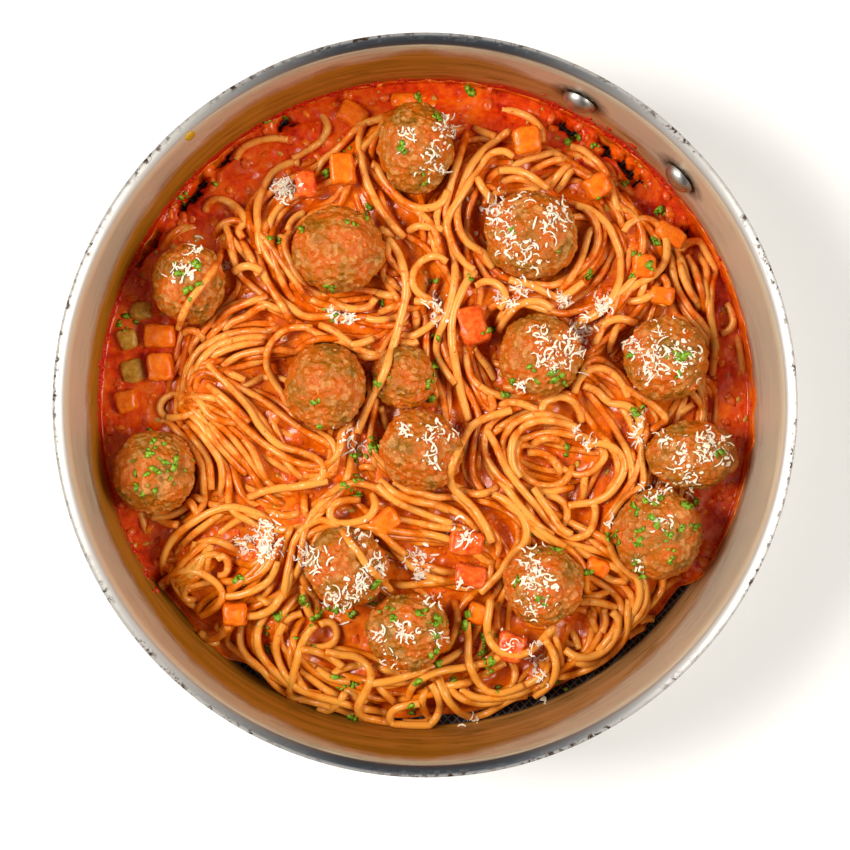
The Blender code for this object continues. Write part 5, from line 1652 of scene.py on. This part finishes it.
class Landing:
    """Finds what the camera sees at a place of the photograph, so that a topping comes to lie on it."""

    def __init__(self, camera: tuple[float, float, float], drawn_height: float) -> None:
        """Freezes the scene as it stands.

        Args:
            camera: The camera's place.
            drawn_height: Height of the plane in which places are given.
        """
        bpy.context.view_layer.update()
        self.depsgraph = bpy.context.evaluated_depsgraph_get()
        self.camera = Vector(camera)
        self.drawn_height = drawn_height

    def find(self, x: float, y: float) -> tuple[Vector, Vector, str] | None:
        """Looks for the surface at a place.

        Args:
            x: The place along X, as seen at the drawn height.
            y: The place along Y.

        Returns:
            The point, its normal and the name of what was hit, or None.
        """
        way = (Vector((x, y, self.drawn_height)) - self.camera).normalized()
        hit, point, normal, _, thing, _ = bpy.context.scene.ray_cast(self.depsgraph, self.camera, way)
        return (point, normal, thing.name) if hit else None

    def find_near(self, x: float, y: float, spread: float, draw: random.Random) -> tuple[Vector, Vector, str] | None:
        """Looks for a surface on which a topping can stay, at a chance place near one of the table's.

        Args:
            x: The table's place along X, in millimetres.
            y: The same along Y.
            spread: Standard deviation of the distance, in millimetres.
            draw: Where its chances come from.

        Returns:
            What find gives, or None where the surface is too steep.
        """
        found = self.find((x + draw.gauss(0, spread)) * MM, (y + draw.gauss(0, spread)) * MM)
        return found if found and found[1].z >= 0.1 else None


@dataclass
class Scattering:
    """Many small closed shapes joined in one piece."""

    name: str
    slot: str
    points: list[np.ndarray] = field(default_factory=list)
    faces: list[list[int]] = field(default_factory=list)
    count: int = 0

    def add(self, points: np.ndarray, faces: list[list[int]]) -> None:
        """Adds one shape.

        Args:
            points: Its vertices in place.
            faces: Its faces, by its own vertex numbers.
        """
        self.points.append(points)
        self.faces += [[self.count + corner for corner in face] for face in faces]
        self.count += len(points)

    def make(self, finish: bpy.types.Material, smooth: bool) -> bpy.types.Object:
        """Makes the piece.

        Args:
            finish: Its material.
            smooth: Whether its faces are smooth.

        Returns:
            The piece.
        """
        piece = mesh_piece(self.name, np.vstack(self.points), self.faces, smooth)
        piece.data.materials.append(finish)
        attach(piece, "root")
        return piece


def leaf(
    point: Vector, normal: Vector, size: float, fold: float, draw: random.Random
) -> tuple[np.ndarray, list[list[int]]]:
    """A thin flake with a ragged rim, folded along its middle.

    Args:
        point: Where it lies.
        normal: The surface's normal there.
        size: Its half width.
        fold: How steeply its sides rise.
        draw: Where its chances come from.

    Returns:
        Its vertices and its faces.
    """
    ahead, aside = across(normal, draw.uniform(0, math.tau))
    rim = []
    for corner in range(7):
        turn = corner * math.tau / 7
        reach = size * draw.uniform(0.6, 1.2)
        u, v = reach * math.cos(turn) * 1.25, reach * math.sin(turn) * 0.8
        rim.append(point + ahead * u + aside * v + normal * (0.35 * MM + abs(v) * fold))
    ends = [point + normal * 0.45 * MM, point + normal * 0.12 * MM]
    faces = [[k, (k + 1) % 7, 7] for k in range(7)] + [[(k + 1) % 7, k, 8] for k in range(7)]
    return as_rows(rim + ends), faces


def table_rows(text: str) -> list[tuple[float, ...]]:
    """Reads a table of words of numbers joined by commas."""
    return [tuple(float(value) for value in word.split(",")) for word in text.split()]


def across(normal: Vector, turn: float) -> tuple[Vector, Vector]:
    """Two directions that lie in a surface.

    Args:
        normal: The surface's normal.
        turn: How far the first is turned.

    Returns:
        The two directions, at right angles.
    """
    side = normal.orthogonal().normalized()
    other = normal.cross(side)
    return side * math.cos(turn) + other * math.sin(turn), other * math.cos(turn) - side * math.sin(turn)


@dataclass
class GratedCheese:
    """Hard cheese from a fine grater: thin curled shreds in tufts, with crumbs between them."""

    landing: Landing
    draw: random.Random
    thickness: float = 0.22 * MM

    def add_shred(self, heap: Scattering, point: Vector, normal: Vector) -> None:
        """Adds one curled shred that lies on a surface and lifts at its ends.

        Args:
            heap: The piece that it joins.
            point: Where its middle lies.
            normal: The surface's normal there.
        """
        draw = self.draw
        length, width = draw.uniform(1.2, 5.2) * MM, draw.uniform(0.35, 0.8) * MM
        ahead, aside = across(normal, draw.uniform(0, math.tau))
        bend, lift = draw.uniform(-3.0, 3.0), draw.uniform(0.0, 0.6) * MM
        count, points = 6, []
        for step in range(count):
            t = step / (count - 1) - 0.5
            turn = bend * t
            centre = point + ahead * (length * t * (1 - 0.12 * bend * bend * t * t))
            centre += aside * (length * 0.5 * bend * t * t) + normal * (0.3 * MM + lift * 4 * t * t)
            half = (aside * math.cos(turn) - ahead * math.sin(turn)) * (width / 2 * (1 - 0.9 * t * t * 2))
            up = normal * (self.thickness / 2)
            points += [centre - half - up, centre + half - up, centre + half + up, centre - half + up]
        faces = [[3, 2, 1, 0]]
        for step in range(count - 1):
            base = step * 4
            faces += [[base + k, base + (k + 1) % 4, base + 4 + (k + 1) % 4, base + 4 + k] for k in range(4)]
        faces.append(list(range(count * 4 - 4, count * 4)))
        heap.add(as_rows(points), faces)

    def add_flake(self, heap: Scattering, point: Vector, normal: Vector) -> None:
        """Adds one flat flake."""
        heap.add(*leaf(point, normal, self.draw.uniform(0.3, 1.1) * MM, 0.1, self.draw))

    def add_crumb(self, heap: Scattering, point: Vector, normal: Vector) -> None:
        """Adds one crumb.

        Args:
            heap: The piece that it joins.
            point: Where it lies.
            normal: The surface's normal there.
        """
        ahead, aside = across(normal, self.draw.uniform(0, math.tau))
        size = self.draw.uniform(0.15, 0.45) * MM
        corners = [ahead * size * 1.4, aside * size, -ahead * size, -aside * size * 1.2]
        corners += [normal * size * 0.9, -normal * size]
        faces = [[0, 1, 4], [1, 2, 4], [2, 3, 4], [3, 0, 4], [1, 0, 5], [2, 1, 5], [3, 2, 5], [0, 3, 5]]
        heap.add(as_rows([point + normal * size * 0.5 + corner for corner in corners]), faces)

    def make(self, finish: bpy.types.Material) -> bpy.types.Object:
        """Lays the tufts of the table and returns the piece."""
        heap = Scattering("grated_cheese", "meatball")
        for x, y, spread, count in table_rows(CHEESE_TUFTS):
            adders = [self.add_shred] * (int(count * 1.2) + 1)
            adders += [self.add_flake] * int(count * 0.5) + [self.add_crumb] * int(count * 2)
            for add in adders:
                found = self.landing.find_near(x, y, spread * 0.85, self.draw)
                if found:
                    add(heap, found[0], (found[1] + Vector((0.0, 0.0, 1.6))).normalized())
        return heap.make(finish, False)


@dataclass
class ChoppedParsley:
    """Fresh parsley, chopped: small thin folded leaves."""

    landing: Landing
    draw: random.Random

    def make(self, finish: bpy.types.Material) -> bpy.types.Object:
        """Lays the flakes of the table and returns the piece."""
        heap = Scattering("chopped_parsley", "celery")
        draw = self.draw
        for x, y, spread, count in table_rows(PARSLEY_FLAKES):
            for _ in range(int(count)):
                found = self.landing.find_near(x, y, spread * 0.7, draw)
                if found:
                    heap.add(*leaf(found[0], found[1], draw.uniform(0.5, 1.75) * MM, draw.uniform(-0.4, 0.5), draw))
        return heap.make(finish, True)


@dataclass
class SmallBits:
    """Small soft bits of vegetable in the sauce, too small to be nodes."""

    landing: Landing
    draw: random.Random

    def add_bit(self, heap: Scattering, point: Vector, normal: Vector, size: float) -> None:
        """Adds one rounded bit.

        Args:
            heap: The piece that it joins.
            point: Where it lies.
            normal: The surface's normal there.
            size: Its half length.
        """
        draw = self.draw
        ahead, aside = across(normal, draw.uniform(0, math.tau))
        long, wide, high = (size * draw.uniform(*span) for span in ((0.8, 1.4), (0.6, 1.0), (0.35, 0.7)))
        points = [point + normal * (high + 0.1 * MM)]
        levels, around = 4, 8
        for level in range(1, levels):
            pitch = math.pi * level / levels
            for corner in range(around):
                turn = math.tau * (corner + 0.5 * level) / around
                lump = draw.uniform(0.88, 1.12)
                box = 1 / max(abs(math.cos(turn)), abs(math.sin(turn))) ** 0.5
                flat = math.sin(pitch) * lump * box
                points.append(
                    point
                    + ahead * (long * flat * math.cos(turn))
                    + aside * (wide * flat * math.sin(turn))
                    + normal * (high * math.cos(pitch) * lump)
                )
        points.append(point - normal * high)
        last = len(points) - 1
        faces = fan_faces(0, 1, around) + tube_faces(1, levels - 1, around)
        heap.add(as_rows(points), faces + fan_faces(last, last - around, around, -1))

    def scatter(
        self, name: str, slot: str, count: int, sizes: tuple[float, float], hosts: tuple[str, ...]
    ) -> Scattering:
        """Strews bits over some of the surfaces.

        Args:
            name: The piece's name.
            slot: Name of a material slot, kept with the bits but not used.
            count: How many places are tried.
            sizes: Least and greatest half length in millimetres.
            hosts: Starts of the names of the surfaces that may carry them.

        Returns:
            The bits, not yet a piece.
        """
        heap = Scattering(name, slot)
        for _ in range(count):
            turn = self.draw.uniform(0, math.tau)
            away = math.sqrt(self.draw.uniform(0.0, SAUCE_EDGE**2))
            found = self.landing.find(away * math.cos(turn), away * math.sin(turn))
            if found and found[2].startswith(hosts) and found[1].z > 0.3 and found[0].z > 6 * MM:
                size = self.draw.uniform(*sizes) * MM
                self.add_bit(heap, found[0] - found[1] * size * 0.25, found[1], size)
        return heap


@dataclass
class WallMarks:
    """What has dried on the wall: a ring of bright red bits low down, and a drop of oily sauce on the lip."""

    draw: random.Random
    arcs: tuple[tuple[float, float, int, float], ...] = (
        (22, 78, 520, 4.4), (78, 120, 240, 2.4), (120, 178, 260, 2.4), (178, 215, 90, 2.4), (-28, 22, 90, 2.4),
    )
    drop_size: tuple[float, float, float] = (2.1 * MM, 2.3 * MM, 0.8 * MM)
    drop_angle: float = math.radians(131.1)
    drop_curve: float = math.radians(160)

    def make_bits(self, bits: SmallBits, finish: bpy.types.Material) -> bpy.types.Object:
        """Sticks the dried bits to the wall.

        Args:
            bits: Where their shape comes from.
            finish: Their material.

        Returns:
            The piece.
        """
        heap = Scattering("dried_sauce_bits", "tomato_sauce")
        for first, last, count, climb in self.arcs:
            for _ in range(count):
                turn = math.radians(self.draw.uniform(first, last))
                if math.sin(7 * turn + 1) + math.sin(19 * turn) + 0.6 * math.sin(43 * turn) < -0.4:
                    continue
                point, normal = on_wall(turn, (11.3 + abs(self.draw.gauss(0, climb))) * MM)
                bits.add_bit(heap, point - normal * 0.2 * MM, normal, self.draw.uniform(0.4, 1.5) * MM)
        return heap.make(finish, True)

    def make_drop(self, finish: bpy.types.Material) -> bpy.types.Object:
        """Sets the drop on the lip's inner curve and returns it."""
        turn, curve = self.drop_angle, self.drop_curve
        radius = LIP_ACROSS + LIP_RADIUS * math.cos(curve)
        height = LIP_UP + LIP_RADIUS * math.sin(curve)
        place = Vector((radius * math.cos(turn), radius * math.sin(turn), height))
        normal = Vector((math.cos(turn) * math.cos(curve), math.sin(turn) * math.cos(curve), math.sin(curve)))
        deselect()
        bpy.ops.mesh.primitive_uv_sphere_add(segments=24, ring_count=16, radius=1.0)
        drop = bpy.context.object
        bpy.ops.object.mode_set(mode="EDIT")
        bpy.ops.transform.resize(value=self.drop_size, center_override=(0, 0, 0))
        bpy.ops.object.mode_set(mode="OBJECT")
        drop.matrix_world = Matrix.Translation(place) @ normal.to_track_quat("Z", "Y").to_matrix().to_4x4()
        settle(drop, "oily_drop")
        roughen(drop, "CLOUDS", 2.0 * MM, 0.3 * MM, 1)
        apply_all(drop)
        bpy.ops.object.shade_smooth()
        drop.data.materials.append(finish)
        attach(drop, "root")
        return drop


def main() -> None:
    """Builds the dish in order, from the studio to the parsley."""
    logging.basicConfig(level=logging.INFO, format="%(name)s: %(message)s")
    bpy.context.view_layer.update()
    draw = random.Random(SEED)
    Studio().make()
    pan = SteelPan()
    report(pan.make_shell())
    for rivet in pan.make_rivets():
        report(rivet)
    pan.dress_bracket()

    mince = BrownedMince().make()
    ball_boxes = []
    for name in sorted(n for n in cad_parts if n.startswith("meatball")):
        low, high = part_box(name)
        ball_boxes.append((low, high))
        report(Meatball(name, low, high).make(mince, draw))

    flesh = {
        SliceKind.CARROT: CookedVegetable("cooked_carrot", "#E45A04", "#FA8818", 3.0 * MM, 2.5 * MM, 0.25).make(),
        SliceKind.CELERY: CookedVegetable("cooked_celery", "#B07010", "#DCAE48", 2.0 * MM, 2.5 * MM, 0.35).make(),
        SliceKind.TOMATO: CookedVegetable("cooked_tomato", "#D23C04", "#F27A2C", 2.4 * MM, 2.5 * MM, 0.35).make(),
    }
    slice_boxes = []
    for name in sorted(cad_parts):
        kind = next((k for k in SliceKind if name.startswith(k.value)), None)
        if kind:
            slice_boxes.append(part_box(name))
            report(CutVegetable(name, kind).make(flesh[kind]))

    heap = SpaghettiHeap(ball_boxes, slice_boxes)
    heap.lay_all()
    pasta = SaucedPasta().make()
    for part, sides in (("lower", 6), ("middle", 8), ("top", 10)):
        report(heap.make_part(part, sides, pasta))
    report(SauceBed(heap).make(TomatoSauce().make()))

    landing = Landing(Studio.camera_place, heap.drawn_height)
    bits = SmallBits(landing, draw)
    for kind, count, sizes in (
        (SliceKind.TOMATO, 1100, (0.5, 2.6)),
        (SliceKind.CARROT, 520, (0.8, 2.8)),
        (SliceKind.CELERY, 320, (0.6, 1.8)),
    ):
        strewn = bits.scatter(f"{kind.value}_bits", kind.value, count, sizes, ("tomato_sauce",))
        report(strewn.make(flesh[kind], True))
    pulp = CookedVegetable("tomato_pulp", "#DE5A08", "#F79A4C", MM, MM, 0.0).make()
    strewn = bits.scatter("tomato_pulp", "tomato_sauce", 1500, (0.25, 0.75), ("spaghetti", "browned"))
    report(strewn.make(pulp, True))
    marks = WallMarks(draw)
    dried = CookedVegetable("dried_tomato_sauce", "#B01206", "#E03414", MM, MM, 0.2).make()
    report(marks.make_bits(bits, dried))
    oily = CookedVegetable("oily_yellow_sauce", "#A8780F", "#C99A22", 3 * MM, MM, 0.2).make()
    report(marks.make_drop(oily))
    cheese = CookedVegetable("grated_hard_cheese", "#EBD8B8", "#FAF0E0", MM, 0.4 * MM, 0.2).make()
    report(GratedCheese(landing, draw).make(cheese))
    parsley = CookedVegetable("chopped_parsley_leaf", "#4A7E08", "#A6CC38", MM, 0.5 * MM, 0.15).make()
    report(ChoppedParsley(landing, draw).make(parsley))


if __name__ == "__main__":
    main()
